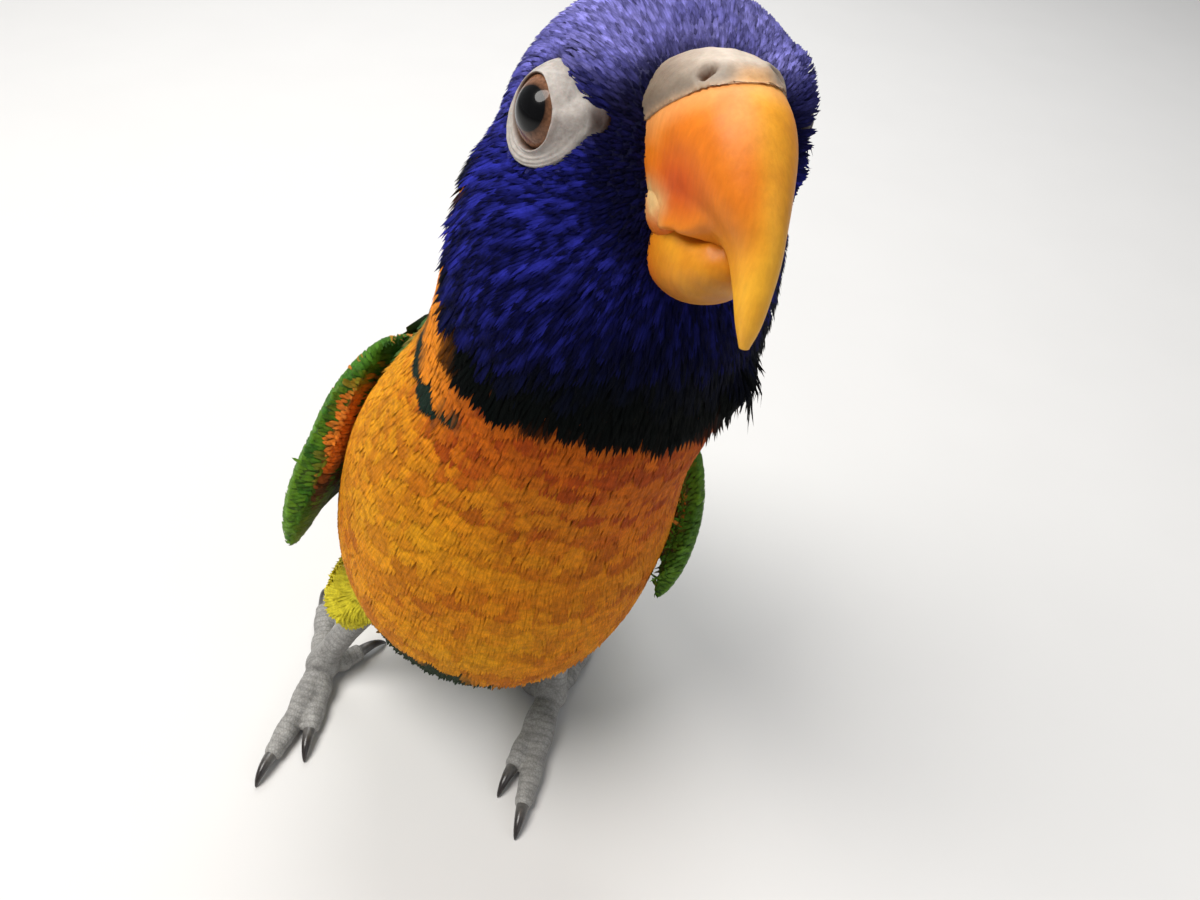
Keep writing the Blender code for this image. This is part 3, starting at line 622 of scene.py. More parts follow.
# ---- the body's lie and markings ----
class Body:
    """The spine of the body: how far along it, how far round it and which way the plumage lies."""

    def __init__(self):
        rows = spline(BODY_LINE, 48)
        self.middles = rows[:, :3]
        self.along = unit(np.gradient(self.middles, axis=0))
        turn = np.radians(rows[:, 3])
        left = np.stack([np.cos(turn), np.sin(turn), np.zeros(len(rows))], -1)
        self.left = laid_flat(left, self.along)
        self.breast = np.cross(self.left, self.along)
        self.share = stretch(len(rows))

    def read(self, places):
        """Share along the spine, angle from the breast to the left, and the way back along the spine."""
        gap = places[:, None, :] - self.middles[None]
        square = np.sum(gap * gap, -1) + 1.2 * np.sum(gap * self.along[None], -1) ** 2
        weight = np.exp(-(square - square.min(1, keepdims=True)) / (2 * 6.0 ** 2))
        weight /= weight.sum(1, keepdims=True)
        share = weight @ self.share
        middle, along = weight @ self.middles, unit(weight @ self.along)
        left, breast = unit(weight @ self.left), unit(weight @ self.breast)
        out = places - middle
        angle = np.degrees(np.arctan2(np.sum(out * left, -1), np.sum(out * breast, -1)))
        return share, angle, -along


BODY = Body()


def hood_height(places):
    """How far a place lies above the lower border of the hood, with the border a little ragged."""
    facing = HOOD_FACING / np.linalg.norm(HOOD_FACING)
    _, angle, _ = BODY.read(places)
    return (places - HOOD_PLACE) @ facing - np.interp(angle, *HOOD_RIM) + 0.6 * waves(places, 6.0, 11)


def lie_of(places, normals):
    """The way the feathers lie: back from the bill over the head, and down the body to the tail."""
    _, _, back = BODY.read(places)
    from_bill = places - np.array(in_head((0, -15.0, -2.0)))
    reach = size_of(from_bill)
    head_part = (1 - ease(14, 46, reach))[:, None]
    way = unit(from_bill) * head_part + back * (1 - head_part)
    return laid_flat(way, normals)


def thigh_bones():
    """The knee and the heel of each leg."""
    return [(np.array(joints["knee"], float), np.array(joints["heel"], float)) for joints in LEGS.values()]


def on_thigh(places):
    """How far a place belongs to a thigh, from 0 to 1."""
    most = np.zeros(len(places))
    for knee, heel in thigh_bones():
        way = heel - knee
        share = np.clip((places - knee) @ way / (way @ way), -0.15, 1.4)
        gap = size_of(places - knee - share[:, None] * way)
        most = np.maximum(most, 1 - ease(8.2, 10.4, gap))
    return most * (1 - ease(36, 44, places[:, 2]))


def near_thigh(places):
    """How far a place on the flank lies by a thigh, where its yellow begins."""
    most = np.zeros(len(places))
    for knee, _ in thigh_bones():
        gap = size_of(places - knee - (0, 1, 1))
        most = np.maximum(most, ease(13.5, 10.5, gap + 1.5 * waves(places, 4.0, 13)))
    return most * ease(49, 45, places[:, 2])


# how far below the hood the dark band under the collar runs, and how wide the hood's own dark rim is,
# both at angles from the breast
BAND_DEPTH = ([60, 66, 70, 76, 83, 88, 99, 110, 130, 180], [7, 8.6, 9.8, 11, 14, 15.8, 20.6, 22, 18, 14])
RIM_WIDTH = ([-180, -96, -82, -62, -25, 60, 110, 180], [1.6, 1.6, 2.4, 8.0, 14.0, 14.0, 6.0, 1.6])
BAR_SPACE = 4.3


def breast_colours(places, above, turned, broad, fine):
    """Golden to the bird's right and the sides, orange to its left and near the hood, with faint bars, and
    painted shade under the hood's edge on its left.
    """
    wave = -above / BAR_SPACE + 0.5 * broad + 0.2 * waves(places, 7.0, 15) + turned / 260
    patchy = 0.4 + 0.6 * ease(-0.55, 0.35, waves(places * (1, 1, 1.5), 9.0, 3))
    bars = np.sin(2 * np.pi * wave) * patchy + 0.15 * waves(places, 3.4, 17)
    across = (places[:, 0] - 12) / 30
    # under: near the hood on the bird's left, more orange there, and through the bars darker as painted shade
    # under the hood's edge
    under = hump(np.maximum(-above, 0), 17) * ease(-0.75, 0.1, across)
    golden = 0.56 - 0.42 * across - 0.6 * under + 0.36 * ease(26, 48, -above) * across + 0.24 * broad
    golden = np.clip(golden, 0, 1)
    middle = mix(shade("breast_orange"), shade("breast_gold"), golden)
    strength = 0.46 + 0.25 * ease(30, 6, -above) * (1 - ease(30, 75, turned))
    barred = ease(-0.3, 0.9, bars) * strength
    # the bars deepened under the hood: painted shade
    barred = np.clip(barred * (0.6 + 0.9 * (1 - golden)) + 0.42 * under, 0, 0.92)
    middle = mix(middle, shade("breast_bar"), barred)
    return middle, mix(middle, shade("breast_bar"), 0.22 + 0.12 * fine)


def hood_colours(places, above, angle, fine):
    """Pale streaks on the crown, partly painted highlight from light above; dark cheeks with blue shafts,
    darker towards the throat partly as painted shade; a blackish green border; a dark face by the bill, with
    painted shadow beneath the brows and painted shade under the bill.
    """
    head = to_head(places)
    x, y, z = head.T
    # where the crown's pale streaks show: partly their own colour, partly painted highlight on the top and
    # upper sides of the head
    crown_and_highlight = ease(-2.5, 12.0, z + 2.5 * fine) * ease(-24, -12, -np.abs(x) - 2)
    streak = 0.62 + 0.38 * waves(places, 2.6, 21)
    blue = mix(shade("hood"), shade("crown_and_highlight"), np.clip(crown_and_highlight * (0.55 + 0.5 * streak), 0, 1))
    # the hood darker downwards to the throat: partly its own deeper blue, partly painted shade under the head
    blue = blue * (0.1 + 1.15 * ease(-36, -7, z) ** 1.3 * (0.7 + 0.4 * streak))[:, None]
    tones = blue, mix(shade("hood_dark"), blue * 0.5, crown_and_highlight * 0.6)
    rim = ease(1.0, 0.25, (above + 1.6 * fine) / np.interp(angle, *RIM_WIDTH))
    tones = toward(tones, "hood_edge", 0.6, rim)
    beside = np.stack([np.abs(x), y, z], -1)
    by_bill = 0.88 * ease(8.0, 4.0, size_of(head - (0, -15, -3)) - 7.5)
    # painted shadow: the lores darkened beneath the overhanging brows
    lores = 0.9 * hump(size_of((beside - (9.2, -11.0, 3.0)) / (3.4, 3.0, 2.6)), 1)
    # painted shade: darker under the bill
    chin_shade = 0.85 * hump(size_of((head - (-0.5, -12, -19)) / (8, 8, 5.5)), 1)
    # the dark face by the bill, together with the painted shadow and painted shade above
    face = np.maximum(np.maximum(by_bill, lores), chin_shade)
    return toward(tones, "hood_dark", 0.6, face)


def markings(places):
    """Middle and edge colours of the plumage at each place."""
    share, angle, _ = BODY.read(places)
    above = hood_height(places)
    turned = np.abs(angle)
    broad, fine = waves(places, 17.0, 5), waves(places, 2.2, 7)
    tones = breast_colours(places, above, turned, broad, fine)

    x, _, z = places.T
    border = 46.5 - 11.0 * ease(8, 23, x)
    belly = ease(1.5, -1.5, z - border + 1.2 * waves(places, 4.0, 9)) * ease(0.14, 0.26, share)
    belly = belly * ease(-9, -4, x)
    tones = toward(tones, "belly", 0.7, belly)
    vent = ease(0.27, 0.15, share)
    tones = mix(tones[0], shade("vent"), vent), mix(tones[1], shade("back"), vent * 0.8)

    border = 113 - 3 * ease(0.75, 0.62, share) + 4 * broad + 3 * fine
    green = ease(-7, 7, turned - border) * ease(0.93, 0.8, share)
    tones = toward(tones, "back", 0.55, green)

    # the collar behind the hood, with a dark band below it that runs forward as a line
    below = -above - np.interp(turned, *BAND_DEPTH)
    collar = ease(0.8, -0.8, below + 0.9 * fine) * ease(58, 82, turned)
    tones = toward(tones, "collar", 0.85, collar)
    half = 1.7 + 2.4 * ease(84, 125, turned)
    band = (1 - ease(half - 0.7, half + 0.7, np.abs(below + 0.45 * fine))) * ease(58, 64, turned)
    tones = toward(tones, "mantle", 0.7, band)

    hood = ease(-0.4, 0.6, above)
    tones = mix_both(tones, *hood_colours(places, above, angle, fine), hood)
    thigh = np.maximum(on_thigh(places), near_thigh(places)) * (1 - hood)
    return toward(tones, "thigh", 0.75, thigh)


# ---- feathers ----
# sections of a vane, across and up: a plain one, and one with a raised shaft
SMALL_RING = [(-1.0, 0.0), (0.0, 1.0), (1.0, 0.0), (0.0, -1.0)]
LARGE_RING = [(-1.0, 0.0), (-0.5, 0.62), (-0.08, 0.75), (0.0, 1.35), (0.08, 0.75), (0.5, 0.62), (1.0, 0.0),
              (0.0, -0.7)]


def vanes(name, lines, ups, widths, thick, colours, bake, ring=SMALL_RING, edges=None):
    """Many feathers as one mesh: each a thin closed blade along its own line, pointed at both ends.

    lines, ups: feather, station, xyz. widths, thick: feather, station. colours, edges: feather, station,
    rgb, along the middle and along both sides. bake: feather, two numbers on the unwrapped skin."""
    count, stations = lines.shape[:2]
    ahead = unit(np.gradient(lines, axis=1))
    side = unit(np.cross(ups, ahead))
    up = np.cross(ahead, side)
    inner = slice(1, stations - 1)
    rows, around = stations - 2, len(ring)
    across, height = np.array(ring).T
    points = (lines[:, inner, None] + side[:, inner, None] * (widths[:, inner, None] * across)[..., None]
              + up[:, inner, None] * (thick[:, inner, None] * height)[..., None])
    share = stretch(stations)
    edges = colours * 0.82 if edges is None else edges
    toned = mix(colours[:, inner, None], edges[:, inner, None], np.abs(across)[None, None])
    all_points = np.concatenate([points.reshape(count, -1, 3), lines[:, :1], lines[:, -1:]], 1)
    all_colours = np.concatenate([toned.reshape(count, -1, 3), colours[:, :1], colours[:, -1:]], 1)
    local = [(across[k], share[1 + i] * 2 - 1) for i in range(rows) for k in range(around)]
    local = np.array(local + [(0.0, -1.0), (0.0, 1.0)])
    quads = [(low + k, low + around + k, low + around + (k + 1) % around, low + (k + 1) % around)
             for low in range(0, (rows - 1) * around, around) for k in range(around)]
    root, tip, last = rows * around, rows * around + 1, (rows - 1) * around
    triangles = [(root, k, (k + 1) % around) for k in range(around)]
    triangles += [(tip, last + (k + 1) % around, last + k) for k in range(around)]
    offsets = np.arange(count)[:, None, None] * (rows * around + 2)
    made = mesh_object(name, all_points.reshape(-1, 3), (np.array(quads)[None] + offsets).reshape(-1, 4),
                       (np.array(triangles)[None] + offsets).reshape(-1, 3))
    tint(made, all_colours.reshape(-1, 3))
    vane_map = np.tile(local * 0.5 + 0.5, (count, 1, 1))
    vane_map[..., 0] += np.arange(count)[:, None] * 0.37 % 7
    point_map(made, "Vane", vane_map.reshape(-1, 2))
    patches = bake[:, None, :] + local[None] * 0.0014
    point_map(made, "OFBake", np.clip(patches, 0.001, 0.999).reshape(-1, 2))
    return made


def spaced(places, space):
    """The places that are kept, in their order, so that no two are closer than space."""
    cell = float(space.max())
    grid, kept = {}, []
    keys = np.floor(places / cell).astype(int).tolist()
    spots, limits = places.tolist(), (space * space).tolist()
    steps = [(x, y, z) for x in (-1, 0, 1) for y in (-1, 0, 1) for z in (-1, 0, 1)]
    for index, (x, y, z) in enumerate(keys):
        a, b, c = spots[index]
        limit = limits[index]
        if all((a - d) ** 2 + (b - e) ** 2 + (c - f) ** 2 >= limit for dx, dy, dz in steps
               for d, e, f in grid.get((x + dx, y + dy, z + dz), ())):
            grid.setdefault((x, y, z), []).append(spots[index])
            kept.append(index)
    return np.array(kept)


def along_vane(tone, share, root, tip):
    """One colour a feather made into one a station, darker at the root as painted shade and changed at the
    tip.
    """
    fade = (root + (1 - root) * ease(0.0, 0.5, share)) * (1 + (tip - 1) * ease(0.6, 1.0, share))
    return np.asarray(tone)[:, None] * fade[:, None]


class Hide:
    """A skin to grow feathers on: its points, its faces and its nearest places."""

    def __init__(self, obj):
        mesh = obj.data
        mesh.calc_loop_triangles()
        self.points = places_of(obj)
        corners = np.empty(len(mesh.loop_triangles) * 3, np.int32)
        mesh.loop_triangles.foreach_get("vertices", corners)
        self.faces = corners.reshape(-1, 3)
        self.normals = normals_of(obj)
        self.tree = BVHTree.FromPolygons([tuple(p) for p in self.points], [tuple(f) for f in self.faces])

    def spread(self, spacing, seed, keep):
        """Even random places on the skin. spacing: a number, or a function of places; keep: the choice."""
        draw = np.random.default_rng(seed)
        a, b, c = (self.points[self.faces[:, i]] for i in range(3))
        area = size_of(np.cross(b - a, c - a)) / 2
        gaps = spacing if callable(spacing) else lambda points: np.full(len(points), spacing)
        smallest = float(np.min(gaps(self.points[::50])))
        wanted = int(area.sum() / smallest ** 2 * 3.2)
        picks = draw.choice(len(area), wanted, p=area / area.sum())
        one, two = draw.random(wanted), draw.random(wanted)
        flip = one + two > 1
        one[flip], two[flip] = 1 - one[flip], 1 - two[flip]
        places = a[picks] + (b[picks] - a[picks]) * one[:, None] + (c[picks] - a[picks]) * two[:, None]
        near = self.normals[self.faces[picks]]
        weights = np.stack([1 - one - two, one, two], -1)[..., None]
        normals = unit((near * weights).sum(1))
        chosen = keep(places)
        places, normals = places[chosen], normals[chosen]
        kept = spaced(places, gaps(places) * 0.82)
        return places[kept], normals[kept]

    def follow(self, places, normals, ways, reach, stations):
        """Lines over the skin from each place along its way: points on the skin and normals there."""
        lines, ups = [places], [normals]
        step = (reach / (stations - 1))[:, None]
        here, up, way = places, normals, ways
        for _ in range(stations - 1):
            target = here + way * step
            found, facing = np.empty_like(here), np.empty_like(here)
            for index, point in enumerate(target):
                spot, normal, _, _ = self.tree.find_nearest(Vector(point))
                found[index], facing[index] = spot, normal
            turned_back = np.sum((found - here) * way, -1) < 0.55 * step[:, 0]
            off = turned_back | (size_of(found - target) > 0.9)
            found[off], facing[off] = target[off], up[off]
            facing = unit(facing * 0.6 + up * 0.4)
            way = laid_flat(way, facing)
            lines.append(found)
            ups.append(facing)
            here, up = found, facing
        return np.stack(lines, 1), np.stack(ups, 1)


def unwrap_of(places):
    """A place on the unwrapped skin: round the spine and along it, with the head in the upper part."""
    share, angle, _ = BODY.read(places)
    head = to_head(places)
    cap = ease(0.8, 0.97, share)
    around = 0.5 + angle / 360 * 0.92
    along = 0.03 + 0.8 * share + 0.1 * cap * np.clip((head[:, 2] + 18) / 36, 0, 1)
    return np.stack([around, along], -1)


def head_map(places):
    """A place on the hood laid out flat, with the crown in the middle and the throat at the edge."""
    out = unit(places - np.array(HEAD_MIDDLE) + (0, 0, 6.0))
    away = np.sqrt(np.clip((1 - out[:, 2]) / 2, 0, 1)) * 0.48
    flat = unit(out[:, :2] + 1e-6)
    return 0.5 + flat * away[:, None]


def leg_map(places):
    """A place on a thigh: round the leg and down it, each leg in its own half."""
    around, along = np.zeros(len(places)), np.zeros(len(places))
    for (knee, heel), middle in zip(thigh_bones(), (0.25, 0.75)):
        way = unit(heel - knee)
        left = unit(np.cross(way, (0, 1.0, 0)))
        out = places - knee
        near = (places[:, 0] < BODY_SPLIT) == (knee[0] < BODY_SPLIT)
        angle = np.arctan2(out @ left, out @ np.cross(way, left))
        around = np.where(near, middle + 0.23 * angle / np.pi, around)
        along = np.where(near, 0.35 + 0.018 * (out @ way), along)
    return np.stack([around, along], -1)


def turn_about(ways, normals, degrees):
    """Turns each way about its normal."""
    angle = np.radians(degrees)[:, None]
    return ways * np.cos(angle) + np.cross(normals, ways) * np.sin(angle)


def clumps(places, ways, normals, gap, bend, seed):
    """Gathers the roots of vanes into feathers with rounded ends that overlap like tiles.

    Gives for each root its feather's tip, how far it lies behind the feather's edge, and beside its shaft."""
    order = np.random.default_rng(seed).permutation(len(places))
    tips = order[spaced(places[order], gap[order])]
    tree = KDTree(len(tips))
    for k, index in enumerate(tips):
        tree.insert(places[index], k)
    tree.balance()
    wanted = min(14, len(tips))
    ahead = places + ways * (gap * 0.8)[:, None]
    near = np.array([[found[1] for found in tree.find_n(place, wanted)] for place in ahead])
    away = places[tips[near]] - places[:, None]
    sides = np.cross(ways, normals)
    beside = np.sum(away * sides[:, None], -1)
    behind = np.sum(away * ways[:, None], -1) - beside ** 2 / (2 * bend[:, None])
    behind = np.where((behind < 0) | (np.abs(beside) > gap[:, None] * 1.1), 1e3, behind)
    best = np.argmin(behind, axis=1)
    rows = np.arange(len(places))
    behind, beside = behind[rows, best], beside[rows, best]
    alone = behind > 100
    behind[alone], beside[alone] = 0.4, 0.0
    return tips[near[rows, best]], behind, beside


def coat(name, look, slot, hide, places, normals, gap, bend, width, depth, step, seed, ways=None,
         longest=6.0, loose=0.0, extra=0.0, bar=(0.8, 0.8), shaft=(0.0, 1.0), root=0.55, colours=markings,
         bake=unwrap_of, stations=5, sway=3.0, back=2.2, fan=0.2, rising=0.7, gather=1.0, vary=0.12):
    """Fine vanes that lie along the skin and gather into feathers, in pieces of some thousands.

    gap: space of the feathers' tips; bend: how round their ends are; step: how far each edge stands over the
    next feather; bar: how strong and how long the darker tone at the edge is; shaft: the same beside the
    shaft; rising: how soon a vane comes up from its root, sooner with smaller numbers; gather: how far the
    vanes of a feather share its tip's colour; vary: how much lighter or darker a feather may be; root: how
    bright a vane is at its root, darker as painted shade under the feathers over it."""
    draw = np.random.default_rng(seed)
    count = len(places)
    numbers = (gap, bend, width, depth, step, loose, extra, back)
    gap, bend, width, depth, step, loose, extra, back = (np.broadcast_to(np.asarray(number, float), (count,))
                                                         for number in numbers)
    if ways is None:
        ways = lie_of(places, normals)
    tips, behind, beside = clumps(places, ways, normals, gap, bend, seed + 1)
    reach = np.minimum(behind + draw.uniform(0.1, 0.9, count) * (0.5 + gap * 0.12), longest) + back + extra
    spread_out = np.degrees(np.clip(-beside / gap, -1, 1) * fan)
    headed = turn_about(ways, normals, -spread_out + draw.normal(0, sway, count))
    starts = places - headed * back[:, None]
    lines, ups = hide.follow(starts, normals, headed, reach, stations)
    share = stretch(stations)
    left = np.maximum(behind[:, None] + back[:, None] - share * reach[:, None], 0)
    height = depth[:, None] + step[:, None] * np.exp(-left / 1.5) + draw.uniform(-0.05, 0.05, (count, 1))
    rise = -0.2 + (height + 0.2) * share ** rising
    rise = rise + (loose * draw.uniform(0, 1, count) ** 2)[:, None] * share ** 2
    lines = lines + ups * rise[..., None]
    outline = np.interp(share, [0, 0.25, 0.6, 0.85, 1], [0.6, 0.95, 1.0, 0.7, 0.0])
    widths = width[:, None] / 2 * outline * draw.uniform(0.85, 1.15, (count, 1))
    thick = 0.03 + widths * 0.06
    roll = np.radians(draw.normal(0, 3, count))[:, None, None]
    ahead = unit(np.gradient(lines, axis=1))
    ups = unit(ups * np.cos(roll) + np.cross(ahead, ups) * np.sin(roll))
    own = places + ways * (np.minimum(behind, longest) * 0.8)[:, None]
    middle, edge = colours(own + (places[tips] - ways[tips] * 0.8 - own) * gather)
    toned = (1 + vary * draw.uniform(-1, 1, count)[tips]) * (1 + vary * draw.uniform(-0.67, 0.67, count))
    dark = bar[0] * hump(left, bar[1]) + (shaft[0] * (1 - hump(beside, shaft[1])))[:, None]
    tones = mix(middle[:, None], edge[:, None], np.clip(dark, 0, 1)) * toned[:, None, None]
    # painted shade: each vane darker at its root, under the feathers over it
    tones = tones * (root + (1 - root) * ease(0.0, 0.5, share))[:, None]
    patches = np.clip(bake(places), 0.01, 0.99)
    order = np.argsort(patches[:, 0], kind="stable")
    pieces = max(1, math.ceil(count / VANES_IN_PIECE))
    for k, part in enumerate(np.array_split(order, pieces)):
        made = vanes(f"{name}_{k + 1}" if pieces > 1 else name, lines[part], ups[part], widths[part],
                     thick[part], tones[part], patches[part])
        finish(made, FINISHES[look], slot, crisp=True)


# ---- skin ----
FLESH = ("head", "neck", "torso", "left_thigh", "right_thigh")


def copy_of_node(name):
    """A merged copy of a solid, whose own mesh is loose triangles."""
    made = added(name + "_copy", frame["nodes"][name].data.copy())
    edit_all(made, (bpy.ops.mesh.remove_doubles, {"threshold": 1e-6}))
    return made


def make_skin():
    """One skin through all the flesh, smooth and inside the solids by the depth of the coat."""
    copies = [copy_of_node(name) for name in FLESH]
    for copy in copies:
        swell = copy.modifiers.new("swell", "DISPLACE")
        swell.strength, swell.mid_level = SKIN_INSET * MM, 0.0
        apply_all(copy)
    skin = named(joined(copies), "skin")
    smoothed(skin, 14, SKIN_VOXEL)
    places, normals = places_of(skin), normals_of(skin)
    depth = sizes().coat_depth / MM * (1 - 0.1 * ease(-1, 1, hood_height(places)))
    places = places - normals * (SKIN_INSET + depth)[:, None]
    move_to(skin, places)
    places = swelled(places, normals)
    move_to(skin, places)
    places = without_lids(places, Hide(skin).tree)
    move_to(skin, places)
    STORE["ground"] = Hide(skin).tree
    head = to_head(places)
    for side in (-1, 1):
        _, height, beside = round_eye(head, side)
        inside = ease(0.05, -0.7, ring_gap(head, side))
        sunk = np.where(beside < 5.4, np.minimum(-2.4 - height, 0), -1.6) * inside
        places = places + (sunk[:, None] * ring_axes(side)[0]) @ HEAD_AXES.T
    places[:, 2] = np.maximum(places[:, 2], 0.2)
    move_to(skin, places)
    middle, edge = markings(places)
    # painted shade: the skin takes the plumage's markings made darker, as the shade between the feathers
    tint(skin, mix(middle, edge, np.full(len(places), 0.5)) * 0.8)
    return finish(skin, skin_finish(), "breast_orange", *FLESH)


def swelled(places, normals):
    """The skin's places with fuller lores and brows, a slimmer left cheek and slimmer thighs."""
    head = to_head(places)
    moved = np.zeros(len(places))
    for side in (-1, 1):
        gaze, ahead, up = ring_axes(side)
        out = head - EYE_MIDDLES[side]
        full = hump(out @ ahead - 7.4, 3.6) * hump(out @ up - 0.8, 4.2) * ease(-14, -8, out @ gaze)
        places = places + LORE_SWELL[side] * full[:, None] * (gaze @ HEAD_AXES.T)
        start, end = (np.array(point) * (side, 1, 1) for point in BROW_LINE)
        share = np.clip((head - start) @ (end - start) / np.sum((end - start) ** 2), 0, 1)
        gap = size_of(head - start - share[:, None] * (end - start))
        moved = moved + BROW_SWELL[side] * hump(gap, 2.7)
    x, y, z = head.T
    cheek = 1.3 * hump(y, 8) * hump(z + 13, 8)
    jaw = ease(2, -5, z) * ease(-13, -7, z) * ease(18, 4, y)
    cheek = (cheek + 0.8 * jaw) * ease(8, 12.5, x)
    tuft = np.exp(-np.sum((places - HOOD_TUFT) ** 2, -1) / 10)
    thigh = on_thigh(places) * (0.5 + 1.9 * ease(42, 30, places[:, 2]))
    return places + normals * (moved - cheek + 2.2 * tuft - thigh)[:, None]


def round_eye(head, side):
    """Each place's way from an eye's middle, how high it lies along the gaze, and how far beside it."""
    out = head - EYE_MIDDLES[side]
    gaze = ring_axes(side)[0]
    height = out @ gaze
    return out, height, size_of(out - height[:, None] * gaze)


def heights_round_eye(tree, side, reach, angle):
    """How far the skin stands over the eye's middle along its gaze, at a reach and angle round it."""
    gaze, ahead, up = ring_axes(side)
    flat = EYE_MIDDLES[side] + np.outer(np.cos(angle) * reach, ahead) + np.outer(np.sin(angle) * reach, up)
    inward = Vector(HEAD_AXES @ -gaze)
    hits = [tree.ray_cast(Vector(start), inward, 25.0)[3] for start in from_head(flat + gaze * 9)]
    return 9.0 - np.array([9.0 if far is None else far for far in hits])


def evened(level):
    """Numbers round a ring, each made the mean of itself and its two neighbours on both sides."""
    return sum(np.roll(level, shift) for shift in (-2, -1, 0, 1, 2)) / 5


def without_lids(places, tree):
    """The skin's places with the lids round both eyes pressed down to the skin beside them."""
    head = to_head(places)
    table_angle = np.linspace(-np.pi, np.pi, 73)
    for side in (-1, 1):
        gaze, ahead, up = ring_axes(side)
        level = evened(heights_round_eye(tree, side, 6.1, table_angle)[:-1])
        level = np.append(level, level[0])
        out, height, beside = round_eye(head, side)
        wanted = np.interp(np.arctan2(out @ up, out @ ahead), table_angle, level) + 0.1 * (6.1 - beside)
        press = np.where(height > -6, np.minimum(wanted - height, 0), 0) * ease(6.3, 5.7, beside)
        head = head + press[:, None] * gaze
    return from_head(head)


def bare_at(head):
    """How far a place on the head lies on bare skin round an eye or on the bill's root, from 0 to 1."""
    bare = np.zeros(len(head))
    for side in (-1, 1):
        bare = np.maximum(bare, 1 - ease(0.0, 0.5, ring_gap(head, side)))
    x, y, z = head.T
    root = np.sqrt((x / 6.3) ** 2 + ((z + 2.2) / 9.8) ** 2)
    return np.maximum(bare, ease(-6.5, -9.0, y) * (1 - ease(0.86, 0.94, root)))


def ring_axes(side):
    """The gaze of an eye and two ways square to it, ahead and up, in the head's frame."""
    gaze = unit(np.array((side * EYE_GAZE[0], *EYE_GAZE[1:])))
    ahead = np.array((0, -1.0, 0))
    ahead = unit(ahead - gaze * (ahead @ gaze))
    up = np.cross(ahead, gaze) * side
    return gaze, ahead, up if up[2] > 0 else -up


def from_point(angle):
    """Degrees from the ring's point, which lies a little below straight ahead."""
    return np.degrees(np.arctan2(np.sin(angle + 0.1), np.cos(angle + 0.1)))


def ring_reach(angle):
    """Outer edge of the bare ring at an angle from straight ahead: longer behind, and a point ahead."""
    long = np.where(np.cos(angle) > 0, 4.95, 6.4)
    oval_edge = 1 / np.sqrt((np.cos(angle) / long) ** 2 + (np.sin(angle) / 5.15) ** 2)
    return oval_edge + 1.9 * hump(from_point(angle), 16) - 1.0 * hump(np.degrees(angle) % 360 - 44, 26)


def brow_at(head):
    """How much higher the feathers stand ahead of and above each eye, where they shade its ring."""
    high = np.zeros(len(head))
    for side, most in ((-1, 0.6), (1, 1.0)):
        _, ahead, up = ring_axes(side)
        out = head - EYE_MIDDLES[side]
        turn = np.degrees(np.arctan2(out @ up, out @ ahead))
        part = ease(60, 40, np.abs(turn - 52)) if side < 0 else ease(100, 60, np.abs(turn - 10))
        high = np.maximum(high, most * part * ease(3.6, 0.8, ring_gap(head, side)))
    return high


def ring_gap(head, side):
    gaze, ahead, up = ring_axes(side)
    out = head - EYE_MIDDLES[side]
    one, two = out @ ahead, out @ up
    angle = np.arctan2(two, one)
    gap = np.hypot(one, two) - ring_reach(angle)
    return np.where(out @ gaze > -3.0, gap, 20.0)


def from_bill_root(head):
    """How far a place on the head lies from the root of the bill."""
    return size_of(head - (0, -13, 0)) - 6


# ---- operators: skin and coat ----
class LORIKEET_OT_skin(bpy.types.Operator):
    """One smooth skin inside the head, neck, body and thighs"""
    bl_idname = "lorikeet.skin"
    bl_label = "Skin"

    def execute(self, context):
        STORE["skin"] = Hide(make_skin())
        return {"FINISHED"}


class LORIKEET_OT_hood(bpy.types.Operator):
    """Small pointed feathers of the blue hood"""
    bl_idname = "lorikeet.hood"
    bl_label = "Hood feathers"

    def execute(self, context):
        hide = STORE["skin"]
        space = sizes().hood_space / MM

        def spacing(places):
            head = to_head(places)
            near = ease(16, 4, from_bill_root(head))
            return space * (1 - 0.22 * near) * (1 + 0.2 * ease(16, 2, hood_height(places)))

        def keep(places):
            return (hood_height(places) > -0.3) & (bare_at(to_head(places)) < 0.5)

        places, normals = hide.spread(spacing, 101, keep)
        head = to_head(places)
        above = hood_height(places)
        near = ease(20, 4, from_bill_root(head))
        by_eye = ease(3.5, 0.0, np.minimum(ring_gap(head, 1), ring_gap(head, -1)))
        small = np.clip(near + by_eye, 0, 1)
        rim = ease(9, 0.5, above)
        cheek = ease(4, -10, head[:, 2])
        gap = sizes().hood_feather / MM * (0.8 + 0.25 * cheek + 0.35 * rim) * (1 - 0.45 * small)
        width = 0.42 + 0.06 * cheek + 0.12 * rim - 0.06 * small
        depth = 0.5 + 0.3 * rim - 0.22 * small
        step = 0.16 + 0.1 * cheek + 0.1 * rim - 0.08 * small
        extra = rim ** 2 * np.random.default_rng(5).uniform(0, 2.0, len(rim)) + 0.6 * cheek * (1 - small)
        brow = brow_at(head)
        tuft = np.exp(-np.sum((places - HOOD_TUFT) ** 2, -1) / 14)
        depth, extra = depth + brow, extra + 0.7 * brow + 2.2 * tuft
        coat("hood", "hood", "hood_blue", hide, places, normals, gap, gap * 0.36, width, depth, step,
             102, longest=5.0, loose=0.2 * cheek + 0.4 * rim + 2.5 * tuft, extra=extra, bar=(0.35, 0.5),
             shaft=(0.62, 0.62), root=0.3, sway=3.5, back=0.5 + 2.0 * (1 - small), fan=0.12, bake=head_map,
             gather=0.8)
        return {"FINISHED"}


